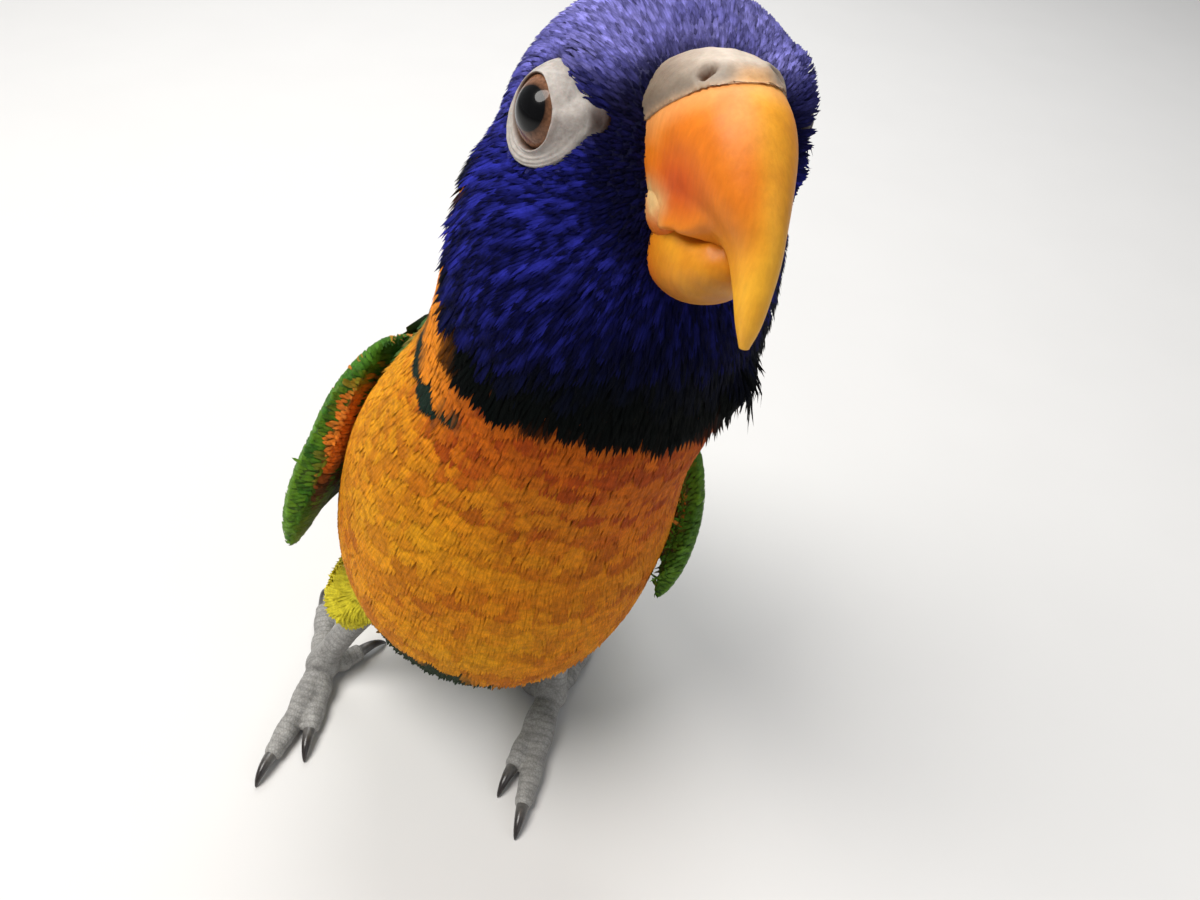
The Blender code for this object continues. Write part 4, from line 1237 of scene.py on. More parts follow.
class LORIKEET_OT_breast(bpy.types.Operator):
    """Silky feathers of the breast, the collar and the sides"""
    bl_idname = "lorikeet.breast"
    bl_label = "Breast and collar feathers"

    def execute(self, context):
        hide = STORE["skin"]
        space = sizes().breast_space / MM

        def spacing(places):
            share, angle, _ = BODY.read(places)
            wider = 0.3 * ease(95, 125, np.abs(angle)) + 0.15 * ease(0.35, 0.2, share)
            return space * (1 + wider)

        def keep(places):
            _, angle, _ = BODY.read(places)
            above = hood_height(places)
            before = (np.abs(angle) < BACK_ANGLE) | (above > BACK_DEPTH)
            return (above < 0.6) & (on_thigh(places) < 0.5) & before

        places, normals = hide.spread(spacing, 201, keep)
        share, angle, _ = BODY.read(places)
        turned, below = np.abs(angle), -hood_height(places)
        low = ease(0.36, 0.18, share)
        upper = ease(24, 4, below)
        gap = sizes().breast_feather / MM * (1 - 0.22 * upper + 0.25 * low + 0.1 * ease(70, 110, turned))
        belly = ease(50, 40, places[:, 2]) * ease(90, 40, turned)
        width, depth, step = 0.62 + 0.14 * low, 0.64 + 0.2 * low, 0.02 + 0.05 * low
        coat("breast", "breast", "breast_orange", hide, places, normals, gap, gap * 0.85, width, depth,
             step, 202, longest=6.5, loose=0.05 + 1.0 * belly, extra=1.6 * belly, bar=(0.28, 1.5), root=0.95,
             back=3.8, sway=1.8, fan=0.08, rising=0.42, gather=0.08, vary=0.07)
        return {"FINISHED"}


class LORIKEET_OT_back(bpy.types.Operator):
    """Rounded green feathers of the back and rump"""
    bl_idname = "lorikeet.back"
    bl_label = "Back feathers"

    def execute(self, context):
        hide = STORE["skin"]
        space = sizes().back_space / MM

        def keep(places):
            _, angle, _ = BODY.read(places)
            return (hood_height(places) <= BACK_DEPTH) & (np.abs(angle) >= BACK_ANGLE)

        places, normals = hide.spread(space, 301, keep)
        share, _, _ = BODY.read(places)
        low = ease(0.35, 0.1, share)
        gap = sizes().back_feather / MM * (1 + 0.25 * low)
        coat("back", "back", "wing_green", hide, places, normals, gap, gap * 0.8, 0.86, 0.78, 0.32,
             302, longest=7.5, bar=(0.9, 0.9), root=0.5, sway=4.0)
        return {"FINISHED"}


class LORIKEET_OT_thighs(bpy.types.Operator):
    """Loose yellow feathers of both thighs"""
    bl_idname = "lorikeet.thighs"
    bl_label = "Thigh feathers"

    def execute(self, context):
        hide = STORE["skin"]

        def keep(places):
            return (on_thigh(places) >= 0.5) & (places[:, 2] < 46)

        places, normals = hide.spread(0.72, 401, keep)
        ways = np.empty_like(places)
        for knee, heel in thigh_bones():
            near = (places[:, 0] < BODY_SPLIT) == (knee[0] < BODY_SPLIT)
            ways[near] = laid_flat(unit(heel - knee), normals[near])
        coat("thighs", "breast", "thigh_yellow", hide, places, normals, 2.6, 1.6, 0.66, 0.5, 0.2,
             402, ways=ways, longest=5.0, loose=0.5, extra=0.9, bar=(0.4, 0.7), root=0.85, sway=6.0,
             bake=leg_map)
        return {"FINISHED"}


# ---- wings and tail ----
class Wing:
    """The middle surface of a folded wing: along runs from front to tip, across from the lower edge up."""

    def __init__(self, side_name):
        self.name, self.side = side_name, SIDES[side_name]
        self.bulge, self.clear = WING_BULGE[side_name], WING_CLEAR[side_name]
        self.lower, self.upper = (spline(edge[side_name], WING_LINE) for edge in (WING_LOWER, WING_UPPER))
        steps = stretch(WING_STEPS + 1)
        self.grid = np.array([[self.pushed(along, across) for across in steps] for along in steps])
        ahead = np.gradient(self.grid, axis=0)
        over = np.gradient(self.grid, axis=1)
        facing = unit(np.cross(ahead, over))
        facing[facing[..., 0] * self.side < 0] *= -1
        for _ in range(3):
            wide = np.pad(facing, ((1, 1), (1, 1), (0, 0)), mode="edge")
            facing = unit(wide[1:-1, 1:-1] + wide[:-2, 1:-1] + wide[2:, 1:-1]
                          + wide[1:-1, :-2] + wide[1:-1, 2:])
        self.facing = facing

    def pushed(self, along, across):
        low, high = row_at(self.lower, along), row_at(self.upper, along)
        skewed = across ** 0.75
        bulge = self.bulge * 4 * skewed * (1 - skewed) * (1 - 0.55 * along)
        place = low + (high - low) * across + np.array((self.side * 0.93, 0.05, 0.36)) * bulge
        found, normal, _, _ = STORE["skin"].tree.find_nearest(Vector(place))
        clear = self.clear + sizes().coat_depth / MM
        height = (Vector(place) - found).dot(normal)
        if height < clear and (Vector(place) - found).length < 25:
            place = place + np.array(normal) * (clear - height)
        return place

    def read(self, table, along, across):
        """A table's value at places along and across, by the four grid points round each."""
        x, y = np.clip(along, 0, 1) * WING_STEPS, np.clip(across, 0, 1) * WING_STEPS
        i, k = np.minimum(x.astype(int), WING_STEPS - 1), np.minimum(y.astype(int), WING_STEPS - 1)
        u, v = (x - i)[..., None], (y - k)[..., None]
        return (table[i, k] * (1 - u) * (1 - v) + table[i + 1, k] * u * (1 - v)
                + table[i, k + 1] * (1 - u) * v + table[i + 1, k + 1] * u * v)

    def point(self, along, across):
        return self.read(self.grid, np.asarray(along, float), np.asarray(across, float))

    def normal(self, along, across):
        return unit(self.read(self.facing, np.asarray(along, float), np.asarray(across, float)))


# half width of a flight feather along it, and of a tail feather
FLIGHT_OUTLINE = [0, 0.15, 0.5, 0.8, 0.93, 1], [0.45, 0.8, 1.0, 0.86, 0.5, 0.0]
TAIL_OUTLINE = [0, 0.12, 0.5, 0.75, 0.9, 1], [0.5, 0.85, 1.0, 0.84, 0.5, 0.0]
# count, root and tip along at the lower edge, the same at the upper edge, lowest and highest across,
# half width, lift, further lift of each over its lower neighbour, stations
FLIGHT_TIERS = {
    "primaries": (10, 0.22, 1.00, 0.3, 0.72, 0.06, 0.58, 3.4, -1.8, 0.22, 14),
    "secondaries": (10, 0.2, 0.56, 0.2, 0.72, 0.14, 0.96, 3.6, 0.5, 0.05, 12),
    "primary_coverts": (8, 0.16, 0.46, 0.24, 0.52, 0.02, 0.5, 2.7, 1.0, 0.05, 9),
    "greater_coverts": (11, 0.14, 0.41, 0.14, 0.5, 0.12, 0.97, 3.5, 1.7, 0.04, 9),
    "median_coverts": (12, 0.11, 0.3, 0.1, 0.37, 0.06, 0.97, 3.3, 2.5, 0.03, 8),
}


def blades(name, feathers, thick, middle, edge, fade, bake, look, slot, *nodes):
    """Large feathers as one piece. feathers: each its line, the way up along it and its half widths."""
    lines, ups, widths = (np.array(part) for part in zip(*feathers))
    share = stretch(lines.shape[1])
    made = vanes(name, lines, ups, widths, np.zeros_like(widths) + thick,
                 along_vane(middle, share, *fade), bake, LARGE_RING, along_vane(edge, share, *fade))
    finish(made, FINISHES[look], slot, *nodes, crisp=True)


def flight_feathers(wing):
    """Flight feathers and large coverts of one wing, in tiers, each a blade with a raised shaft."""
    for order, (tier, numbers) in enumerate(FLIGHT_TIERS.items()):
        count, root_low, tip_low, root_high, tip_high, low, high, half, lift, rise, stations = numbers
        feathers, along = [], stretch(stations)
        draw = np.random.default_rng(len(tier) + (wing.side > 0))
        for k in range(count):
            share = k / (count - 1)
            across = low + (high - low) * share
            root = root_low + (root_high - root_low) * share
            tip = tip_low + (tip_high - tip_low) * share + draw.uniform(-0.008, 0.008)
            if tier == "primaries":
                tip = 1.0 - 0.3 * share ** 1.2
            spot = np.linspace(root, tip, stations), np.full(stations, across)
            up = wing.normal(*spot)
            line = wing.point(*spot) + up * (lift + rise * k)
            ahead = unit(np.gradient(line, axis=0))
            side = unit(np.cross(up, ahead)) * wing.side
            half_widths = half * np.interp(along, *FLIGHT_OUTLINE) * draw.uniform(0.95, 1.05)
            feathers.append((line, unit(up - side * 0.22), half_widths))
        vary = draw.uniform(0.88, 1.12, (count, 1))
        green, pale = shade("wing"), shade("wing_edge")
        middle = np.tile(green, (count, 1)) * vary
        edge = np.tile(green * 0.45 + pale * 0.18, (count, 1)) * vary
        if tier == "primaries":
            middle, edge = middle * 0.75, np.tile(green * 0.35 + 0.004, (count, 1)) * vary
        bake = np.stack([0.03 + 0.94 * stretch(count), np.full(count, 0.05 + 0.18 * order)], -1)
        nodes = (wing.name + "_wing",) if tier == "primaries" else ()
        blades(f"{wing.name}_{tier}", feathers, 0.16 * (1.3 - 0.8 * along), middle, edge, (0.55, 0.8), bake,
               "wing", "wing_green", *nodes)


def wing_pad(wing):
    """The fleshy front of the wing under its small coverts."""
    rings = []
    rows, around = 18, 40
    for i in range(rows):
        share = i / (rows - 1)
        bow = 0.35 + 0.65 * math.sin(math.pi * min(0.12 + share * 1.1, 1.0))
        outer_thick, inner_thick = (thick * bow for thick in PAD_THICK[wing.name])
        angle = full_turn(around)
        across = 0.49 + 0.5 * np.cos(angle) * (0.9 + 0.07 * math.sin(math.pi * min(share * 1.6, 1)))
        along = np.full(around, PAD_START + share * (PAD_END - PAD_START))
        lift = np.sin(angle) * np.where(np.sin(angle) > 0, outer_thick, inner_thick) + 0.9
        rings.append(wing.point(along, across) + wing.normal(along, across) * lift[:, None])
    pad = loft(wing.name + "_wing_pad", rings)
    smoothed(pad, 4)
    return pad


def pad_colours(wing, places):
    """Green on the wing's front, red orange and then dark where it meets the body."""
    clear = np.array([STORE["skin"].tree.find_nearest(Vector(place))[3] for place in places])
    reach = LINING_REACH[wing.name]
    inner = ease(reach, reach - 1.6, clear + 0.4 * waves(places, 4.0, 31))
    inner = inner * ease(97, 91, places[:, 2])
    dark = ease(80, 72, places[:, 2] + 2.0 * waves(places, 5.0, 33))
    green = mix(shade("wing"), shade("wing_edge"), np.clip(0.15 + 0.4 * waves(places, 3.6, 35), 0, 0.6))
    # painted light: the left wing's green made paler, as if it caught more light
    left_lit = 0.3 if wing.side > 0 else 0.0
    green = mix(green, shade("wing_edge"), 0.5 * ease(6.5, 9.0, clear) + left_lit)
    lining = mix(shade("lining"), shade("mantle"), np.clip(dark * 0.9, 0, 1))
    middle = mix(green, lining, inner)
    return middle, middle * mix(np.full(3, 0.55), np.full(3, 0.75), inner)


class LORIKEET_OT_wings(bpy.types.Operator):
    """Both folded wings: pads, small coverts, large coverts and flight feathers"""
    bl_idname = "lorikeet.wings"
    bl_label = "Wings"

    def execute(self, context):
        for side_name in SIDES:
            wing = Wing(side_name)
            flight_feathers(wing)
            pad = wing_pad(wing)
            hide = Hide(pad)
            # painted shade: the pad under the small coverts takes their colours at half brightness, as the
            # shade between them
            tint(pad, pad_colours(wing, hide.points)[0] * 0.5)
            finish(pad, skin_finish(), "wing_green")
            places, normals = hide.spread(0.7, 501, lambda points: points[:, 2] > 0)
            half = WING_STEPS // 2
            front = wing.grid[0, half]
            back = unit(wing.grid[half, half] - front)
            ways = laid_flat(back + 0.9 * wing.facing[6, half], normals)
            share = ease(0.15, -0.95, normals @ back)
            rear = ease(2, 30, np.sum((places - front) * back, -1))
            gap = (2.3 + 1.6 * rear) * (1 - 0.5 * ease(-0.15, -0.75, normals @ back))
            coat(side_name + "_small_coverts", "wing", "wing_green", hide, places, normals, gap,
                 gap * 0.7, 0.72, 0.4, 0.06, 502, ways=ways, longest=4.4 - 2.9 * share, bar=(0.55, 0.7),
                 root=0.75, sway=2.5, fan=0.12, bake=pad_map,
                 colours=lambda points: pad_colours(wing, points),
                 back=2.0 - 1.2 * share, rising=0.5)
        return {"FINISHED"}


def pad_map(places):
    """A place on the unwrapped front of a wing: along it, and its height."""
    return np.stack([(places[:, 1] + 25) / 90, (places[:, 2] - 20) / 95], -1)


def tail_place(share):
    rows = spline(TAIL_LINE, 61)
    at = np.clip(share, 0, 1) * 60
    i = np.minimum(at.astype(int), 59)
    place = rows[i] + (rows[i + 1] - rows[i]) * (at - i)[:, None]
    ahead = unit(rows[i + 1] - rows[i])
    left = -unit(np.cross(ahead, (0, 0, 1.0)))
    up = unit(np.cross(ahead, left))
    up[up[:, 2] < 0] *= -1
    return place, left, up


def make_tail_coverts():
    """Coverts over and under the root of the tail."""
    draw = np.random.default_rng(61)
    feathers, middle, edge = [], [], []
    share = stretch(8)
    for over in (1, -1):
        for row in range(6):
            for k in range(7):
                side = (k - 3) / 3
                start = 0.01 + 0.03 * row + 0.008 * (k % 2)
                reach = (0.17 if over > 0 else 0.24) - 0.015 * row
                place, left, up = tail_place(start + share * reach)
                half = 8.0 * (1 - 0.35 * row / 5)
                arch = math.cos(side * 1.35)
                rise = (1.4 + 1.9 * arch * (1 - row / 7)) * over - (0.0 if over > 0 else 1.9)
                height = rise + 0.9 * over * (1 - share) - 0.2 * row * over
                line = place + left * (side * half) + up * height[:, None]
                line[:, 2] = np.maximum(line[:, 2], 0.4)
                half_widths = 2.9 * np.interp(share, [0, 0.2, 0.6, 0.88, 1], [0.4, 0.8, 1.0, 0.6, 0])
                feathers.append((line, unit(up * over + left * side * 0.8), half_widths))
                vary = draw.uniform(0.85, 1.15)
                middle.append((shade("back") if over > 0 else shade("vent")) * vary)
                edge.append(shade("back") * (0.6 if over > 0 else 0.9) * vary)
    bake = np.stack([draw.uniform(0.05, 0.95, len(feathers)), draw.uniform(0.05, 0.95, len(feathers))], -1)
    blades("tail_coverts", feathers, 0.15, middle, edge, (0.6, 1.0), bake, "back", "tail_green")


class LORIKEET_OT_tail(bpy.types.Operator):
    """Twelve tail feathers in steps, the middle pair longest and on top"""
    bl_idname = "lorikeet.tail"
    bl_label = "Tail feathers"

    def execute(self, context):
        feathers, middle, edge = [], [], []
        pairs, share = 6, stretch(16)
        for pair in range(pairs - 1, -1, -1):
            reach = 1 - 0.42 * (pair / (pairs - 1)) ** 0.85
            for side in (-1, 1):
                place, left, up = tail_place(share * reach)
                offset = side * (2.15 * pair + 1.9) * (0.5 + 0.65 * share * reach)
                slope = 0.12 * side * (pair > 0)
                height = -0.72 * pair + (0.95 if pair == 0 and side > 0 else 0.0)
                rise = height - slope * offset * 0.4 + 0.35
                line = place + left * offset[:, None] + up * rise[:, None]
                line[:, 2] = np.maximum(line[:, 2], 0.25 + 0.04 * (pairs - pair))
                feathers.append((line, unit(up + left * slope), 4.3 * np.interp(share, *TAIL_OUTLINE)))
                green = shade("back") * (1.0 if pair < 2 else 0.9)
                middle.append(green)
                edge.append(green * 0.5 + shade("vent") * (0.12 if pair else 0.04))
        bake = np.stack([np.linspace(0.05, 0.95, 2 * pairs), np.full(2 * pairs, 0.5)], -1)
        blades("tail_feathers", feathers, 0.2 * (1.3 - 0.9 * share), middle, edge, (0.6, 0.9), bake, "wing",
               "tail_green", "tail")
        make_tail_coverts()
        return {"FINISHED"}


# ---- bill ----
def bill_body(name, sections, count, around, swell=0.0, square=2.0, stop=1.0, square_under=None):
    """A closed body through the sections of a bill, thicker by swell, over the first part of its length."""
    rows = spline(sections, count)
    rings = []
    for i in range(int(count * stop)):
        ahead, height, half_width, over, under = rows[i]
        after, before = rows[min(i + 1, count - 1)], rows[max(i - 1, 0)]
        along = Vector((0, -(after[0] - before[0]), after[1] - before[1])).normalized()
        up = Vector((1, 0, 0)).cross(along) * -1
        if up.dot(Vector((0, -ahead, 30))) < 0:
            up = -up
        rings.append(oval((0, -ahead, height), (1, 0, 0), up, max(half_width + swell, 0.12), over + swell,
                          under + swell, around, square, square_under))
    return loft(name, from_head(np.array(rings)))


def gape_pale(places):
    """How pale the bill is by the corner of the mouth, from 0 to 1."""
    x, y, z = places.T
    near = np.exp(0.5 * waves(places, 1.9, 53) - ((y + 12.9) / 2.6) ** 2 - ((z + 5.3) / 2.0) ** 2)
    return np.clip(near * 1.15 - 0.08, 0, 1) * ease(3.0, 4.2, np.abs(x))


def nostril_dip(places, normals, dip, rim):
    """Places pressed in at both nostrils and raised round them, and how near each lies to a nostril."""
    closest = np.full(len(places), 9.0)
    for side in (-1, 1):
        wanted = (side * NOSTRIL_PLACE[0], *NOSTRIL_PLACE[1:])
        middle = places[np.argmin(size_of(places - wanted))]
        near = size_of((places - middle) * (0.68, 1.35, 1.35))
        closest = np.minimum(closest, near)
    inward = dip * (1 - ease(0.3, 1.05, closest))
    raised = rim * hump(closest - 1.5, 0.45)
    return places + normals * (raised - inward)[:, None], closest


def bill_finish():
    """Horn of the bill: its tint, fine growth lines and a soft gloss."""
    made = Finish("bill_horn", Roughness=0.5, Coat_Weight=0.08, Coat_Roughness=0.4, Subsurface_Weight=0.06,
                  Subsurface_Scale=0.002, Specular_IOR_Level=0.22)
    base = made.attribute("Tint")
    clouds = made.noise(240.0, 5.0, 0.6)
    light = made.ramp(clouds, "Fac", (0.3, (0.86, 0.78, 0.72)), (0.7, (1.08, 1.08, 1.06)))
    toned = made.times(base, "Color", light)
    growth = made.noise(1900.0, 3.0, 0.6, (1, 1, 0.16))
    line = made.ramp(growth, "Fac", (0.35, (0.86, 0.83, 0.8)), (0.62, (1.04, 1.04, 1.04)))
    made.colour_from(made.times(toned, 2, line, 0.5))
    gloss = made.range(clouds, "Fac", 0.3, 0.7, 0.4, 0.6)
    made.link(gloss, "Result", made.shader, "Roughness")
    made.dent(growth, "Fac", 0.00008, 0.5)
    return made.material


def bare_finish(name, bumps, depth, rough=0.6, shine=0.18):
    """Bare skin: its tint with fine wrinkles and pores."""
    return grained(name, (bumps, 6.0, 0.65), [(0.3, (0.8, 0.78, 0.76)), (0.7, 1.1)], (depth, 0.8),
                   Roughness=rough, Subsurface_Weight=0.08, Subsurface_Scale=0.001, Specular_IOR_Level=shine)


def make_upper_bill(horn):
    made = bill_body("upper_bill_horn", UPPER_BILL, 90, 72, square=2.15, square_under=3.1)
    places, _ = nostril_dip(to_head(places_of(made)), normals_of(made) @ HEAD_AXES, 1.2, 0.0)
    x, y, z = places.T
    wall = ease(-4.0, -8.0, z) * ease(-20.8, -17.6, y) * ease(-13.2, -14.6, y)
    z = z - 1.9 * wall
    flank = np.abs(x)
    fuller = np.maximum(np.interp(-y, *MOUTH_WIDTH) - flank, 0) * ease(2.4, 3.6, flank)
    fuller = fuller * ease(-3.2, -5.2, z) * ease(-22.5, -20.0, y) * ease(-13.4, -14.2, y)
    lean = 0.6 * ease(-4, -10, z) * ease(-17, -20, y) - 0.3 * ease(-10, -18, z)
    x = x + fuller * np.sign(x) + lean
    places = np.stack([x, y, z], -1)
    move_to(made, from_head(places))

    ridge = ease(-2.6, 0.6, x + 0.5 * waves(places, 4.0, 41)) * (1 - 0.5 * ease(1.5, 5.0, np.abs(x)))
    yellow = np.clip(ridge * 0.62 + ease(-4.0, -17.0, z) * 0.7, 0, 0.9)
    deep = hump(y + 18.0, 4.6) * hump(z + 3.4, 3.4) * ease(2.4, 4.4, np.abs(x))
    deep = np.clip(deep + 0.15 * waves(places, 5.0, 41), 0, 1)
    colours = mix(mix(shade("bill"), shade("bill_root"), deep), shade("bill_tip"), yellow)
    below = (places - np.array(CERE_FRONT)) @ np.array(CERE_FACE)
    pale = np.maximum(ease(3.0, 0.3, below), ease(9.0, 2.0, below) * hump(x + 1.6, 1.5))
    colours = mix(colours, BILL_PALE, pale * 0.55)
    tint(made, mix(colours, GAPE_TONE, gape_pale(places)))
    finish(made, horn, "bill_orange", "upper_bill")


def make_lower_bill(horn):
    made = bill_body("lower_bill_horn", LOWER_BILL, 50, 56, square=3.0, square_under=2.1)
    places = to_head(places_of(made))
    _, y, z = places.T
    yellow = np.clip(0.05 + 0.5 * ease(-6, -18, y) + 0.2 * waves(places, 4.0, 43), 0, 1)
    colours = mix(shade("bill") * (0.9, 0.85, 0.7), shade("bill_tip") * (0.9, 0.85, 0.6), yellow)
    # painted shade: the lower bill painted darker towards its underside
    colours = colours * (0.6 + 0.3 * ease(-17, -11, z))[:, None]
    colours = mix(colours, shade("bill_root"), 0.5 * ease(-13, -8, y))
    tint(made, mix(colours, GAPE_TONE, gape_pale(places)))
    finish(made, horn, "bill_orange", "lower_bill")


def make_cere():
    made = bill_body("cere_skin", UPPER_BILL, 150, 128, CERE_SWELL, 2.15, 0.62, 3.1)
    edit_all(made, (bpy.ops.mesh.bisect, {
        "plane_co": world(in_head(CERE_FRONT)), "plane_no": head_way(CERE_FACE), "use_fill": True,
        "clear_inner": False, "clear_outer": True}))
    face = np.array(CERE_FACE)
    places, normals = to_head(places_of(made)), normals_of(made) @ HEAD_AXES
    front = (np.array(CERE_FRONT) - places) @ face
    flat = normals - np.outer(normals @ face, face)
    normals = np.where((front < 0.05)[:, None], unit(flat), normals)
    places, near = nostril_dip(places, normals, 1.1, 0.15)
    swell = 0.2 * ease(0.6, 2.2, front) * ease(8, 2, front)
    swell = swell + 0.05 * waves(places, 1.2, 45) * ease(0.2, 1.2, front)
    swell = swell - 0.4 * ease(1.6, 0.0, front)
    places = places + normals * swell[:, None]
    move_to(made, from_head(places))
    side = np.abs(places[:, 0])
    colours = np.tile(shade("cere"), (len(places), 1)) * (1 + 0.1 * waves(places, 2.4, 47))[:, None]
    # darker and browner towards the sides: partly the cere's own tone, partly painted shade on its sides
    colours = mix(colours, shade("cere") * (0.58, 0.5, 0.42), ease(3, 9, side + front * 0.6))
    # painted highlight: the top of the cere near the ridge painted lighter
    cere_highlight = ease(6.5, 2.0, side) * ease(0.5, 3.5, front + 0.4 * waves(places, 2.0, 57))
    colours = colours * (1 + 0.8 * cere_highlight)[:, None]
    ridge = ease(3.2, 0.6, np.abs(places[:, 0] - 0.4)) * ease(2.6, 0.2, front + 0.3 * waves(places, 1.6, 59))
    colours = mix(colours, CERE_ORANGE, ridge * 0.75)
    colours = mix(colours, CERE_RIM, 0.45 * ease(0.9, 0.0, front))
    # painted shade: each nostril's dip painted dark brown
    tint(made, mix(colours, NOSTRIL_SHADE, 1 - ease(0.45, 1.25, near)))
    finish(made, bare_finish("cere_bare", 700.0, 0.0002, 0.5), "cere_cream", "cere")


def make_gapes():
    """Soft skin at the corner of the mouth on each side."""
    for side_name, side in SIDES.items():
        bpy.ops.mesh.primitive_uv_sphere_add(segments=28, ring_count=18, radius=MM)
        made = named(bpy.context.object, side_name + "_gape")
        flat = places_of(made) + HOME
        places = flat * GAPE_HALF + (side * GAPE_PLACE[0], *GAPE_PLACE[1:])
        places = places + 0.08 * waves(places, 2.0, 49)[:, None] * unit(flat)
        move_to(made, from_head(places))
        base = mix(shade("bill"), shade("bill_root"), 0.5 + 0.3 * waves(places, 2.0, 55))
        tint(made, mix(base, GAPE_TONE, gape_pale(places)))
        finish(made, bare_finish(side_name + "_gape_skin", 900.0, 0.00012, 0.5), "bill_orange")


class LORIKEET_OT_bill(bpy.types.Operator):
    """Upper bill, lower bill, gape and the cere with its nostrils"""
    bl_idname = "lorikeet.bill"
    bl_label = "Bill"

    def execute(self, context):
        horn = bill_finish()
        make_upper_bill(horn)
        make_lower_bill(horn)
        make_cere()
        make_gapes()
        return {"FINISHED"}


# ---- eyes ----
def pupil_gaze(side):
    return head_way((side * PUPIL_GAZE[0], *PUPIL_GAZE[1:]))


def eye_finish(side_name, side):
    """Eyeball: black pupil, brown iris with fine rays, a dark rim and a wet gloss."""
    made = Finish(side_name + "_eyeball", Roughness=0.25, Coat_Weight=0.6, Coat_Roughness=0.015,
                  Coat_IOR=1.38, Specular_IOR_Level=0.05)
    middle, gaze = world(in_head(EYE_MIDDLES[side])), pupil_gaze(side)
    coordinates = made.node("ShaderNodeTexCoord")
    moved = made.node("ShaderNodeVectorMath", operation="SUBTRACT")
    moved.inputs[1].default_value = middle
    made.link(coordinates, "Object", moved, 0)
    turned = made.node("ShaderNodeVectorMath", operation="NORMALIZE")
    made.link(moved, "Vector", turned, 0)
    along = made.node("ShaderNodeVectorMath", operation="DOT_PRODUCT")
    along.inputs[1].default_value = gaze
    made.link(turned, "Vector", along, 0)
    iris = shade("iris")
    rings = made.ramp(along, "Value", (0.25, (0.004, 0.003, 0.003)), (0.55, iris * 0.22), (0.64, iris * 1.1),
                      (0.8, iris * 0.75), (0.87, iris * 0.3), (0.884, (0.0015, 0.0015, 0.0018)))
    rays = made.noise(2600.0, 3.0, 0.6)
    light = made.ramp(rays, "Fac", (0.3, 0.6), (0.7, 1.35))
    made.colour_from(made.times(rings, "Color", light))
    return made.material


def make_eyeball(side_name, side):
    middle, gaze = in_head(EYE_MIDDLES[side]), pupil_gaze(side)
    bpy.ops.mesh.primitive_uv_sphere_add(segments=64, ring_count=40, radius=EYE_RADIUS * MM,
                                         location=world(middle))
    made = named(bpy.context.object, side_name + "_eyeball")
    made.rotation_euler = gaze.to_track_quat("Z", "Y").to_euler()
    place_in_mesh(made)
    places = places_of(made)
    bulge = ease(0.72, 1.0, unit(places - np.array(middle)) @ np.array(gaze))
    move_to(made, places + np.array(gaze) * (0.35 * bulge)[:, None])
    finish(made, eye_finish(side_name, side), "eye_brown", side_name + "_eye")


def make_eye_ring(side_name, side):
    """Bare skin from the rim of the lids out under the feathers, laid on the skin of the head."""
    gaze, ahead, up = ring_axes(side)
    centre = EYE_MIDDLES[side]
    rows, around = 40, 132
    angle = full_turn(around)
    lid = LID_RADIUS - 0.1 * np.cos(angle * 2)
    outer = np.maximum(ring_reach(angle) + 0.55, 4.7)
    inward = HEAD_AXES @ -gaze
    ground, further = (evened(heights_round_eye(STORE["ground"], side, reach, angle))
                       for reach in (outer, outer + 0.8))
    slope = (further - ground) / 0.8
    ball = math.sqrt(EYE_RADIUS ** 2 - LID_RADIUS ** 2)
    rings, colours = [], []
    for i in range(rows):
        share = i / (rows - 1)
        radius = lid + (outer - lid) * share
        flat = centre + np.outer(np.cos(angle) * radius, ahead) + np.outer(np.sin(angle) * radius, up)
        rest = 1 - share
        end = ground + 0.3 + slope * (radius - outer) * 0.6
        height = end * (1 - rest ** 2.2) + (ball + 0.15) * rest ** 2.2
        height = np.maximum(height, np.sqrt(np.maximum(EYE_RADIUS ** 2 - radius ** 2, 0)) + 0.1)
        height = height + 0.42 * math.exp(-((share - 0.1) / 0.075) ** 2)
        height = height + 0.25 * math.sin(math.pi * share) ** 0.8
        folds = (0.04 - 0.025 * np.cos(angle)) * np.sin(share * 30 + 1.2 * np.sin(angle * 3))
        folds = folds + 0.02 * np.sin(angle * 23 + share * 9)
        height = height + folds * ease(0.14, 0.3, share) * ease(1.0, 0.8, share)
        height = height - 0.85 * ease(0.8, 1.0, share)
        rings.append(from_head(flat + gaze * height[:, None]))
        tone = mix(shade("ring") * (0.26, 0.17, 0.13), shade("ring") * (1.1 - 0.18 * share),
                   ease(0.0, 0.13, np.full(around, share)))
        # painted shade: the ring's point ahead of the eye painted dark
        point_shade = hump(from_point(angle), 34) * ease(4.9, 7.0, radius * np.cos(angle))
        colours.append(mix(tone, shade("ring") * (0.12, 0.09, 0.09), point_shade * 0.95))
    under = [ring_points + inward * 0.7 for ring_points in (rings[-1], rings[0])]
    made = loft(side_name + "_eye_ring", rings + under, capped=False)
    tint(made, np.vstack(colours + [colours[-1], colours[0]]))
    finish(made, bare_finish(side_name + "_bare_ring", 1500.0, 0.00012, 0.7, 0.0), "cere_cream")


class LORIKEET_OT_eyes(bpy.types.Operator):
    """Eyeballs, the lids and the bare rings round them"""
    bl_idname = "lorikeet.eyes"
    bl_label = "Eyes"

    def execute(self, context):
        for side_name, side in SIDES.items():
            make_eyeball(side_name, side)
            make_eye_ring(side_name, side)
        return {"FINISHED"}


# ---- legs ----
def toe_line(hub, angle, reach):
    way = Vector((math.sin(math.radians(angle)), -math.cos(math.radians(angle)), 0))
    heights = [hub.z - 1.2, 4.2, 2.6, 2.2, 2.0, TOE_TIP_RADIUS - 0.15]
    shares = [0.0, 0.2, 0.45, 0.65, 0.85, 1.0]
    start = Vector((hub.x, hub.y, 0))
    return way, [start + way * (reach * share) + Vector((0, 0, height))
                 for share, height in zip(shares, heights)]


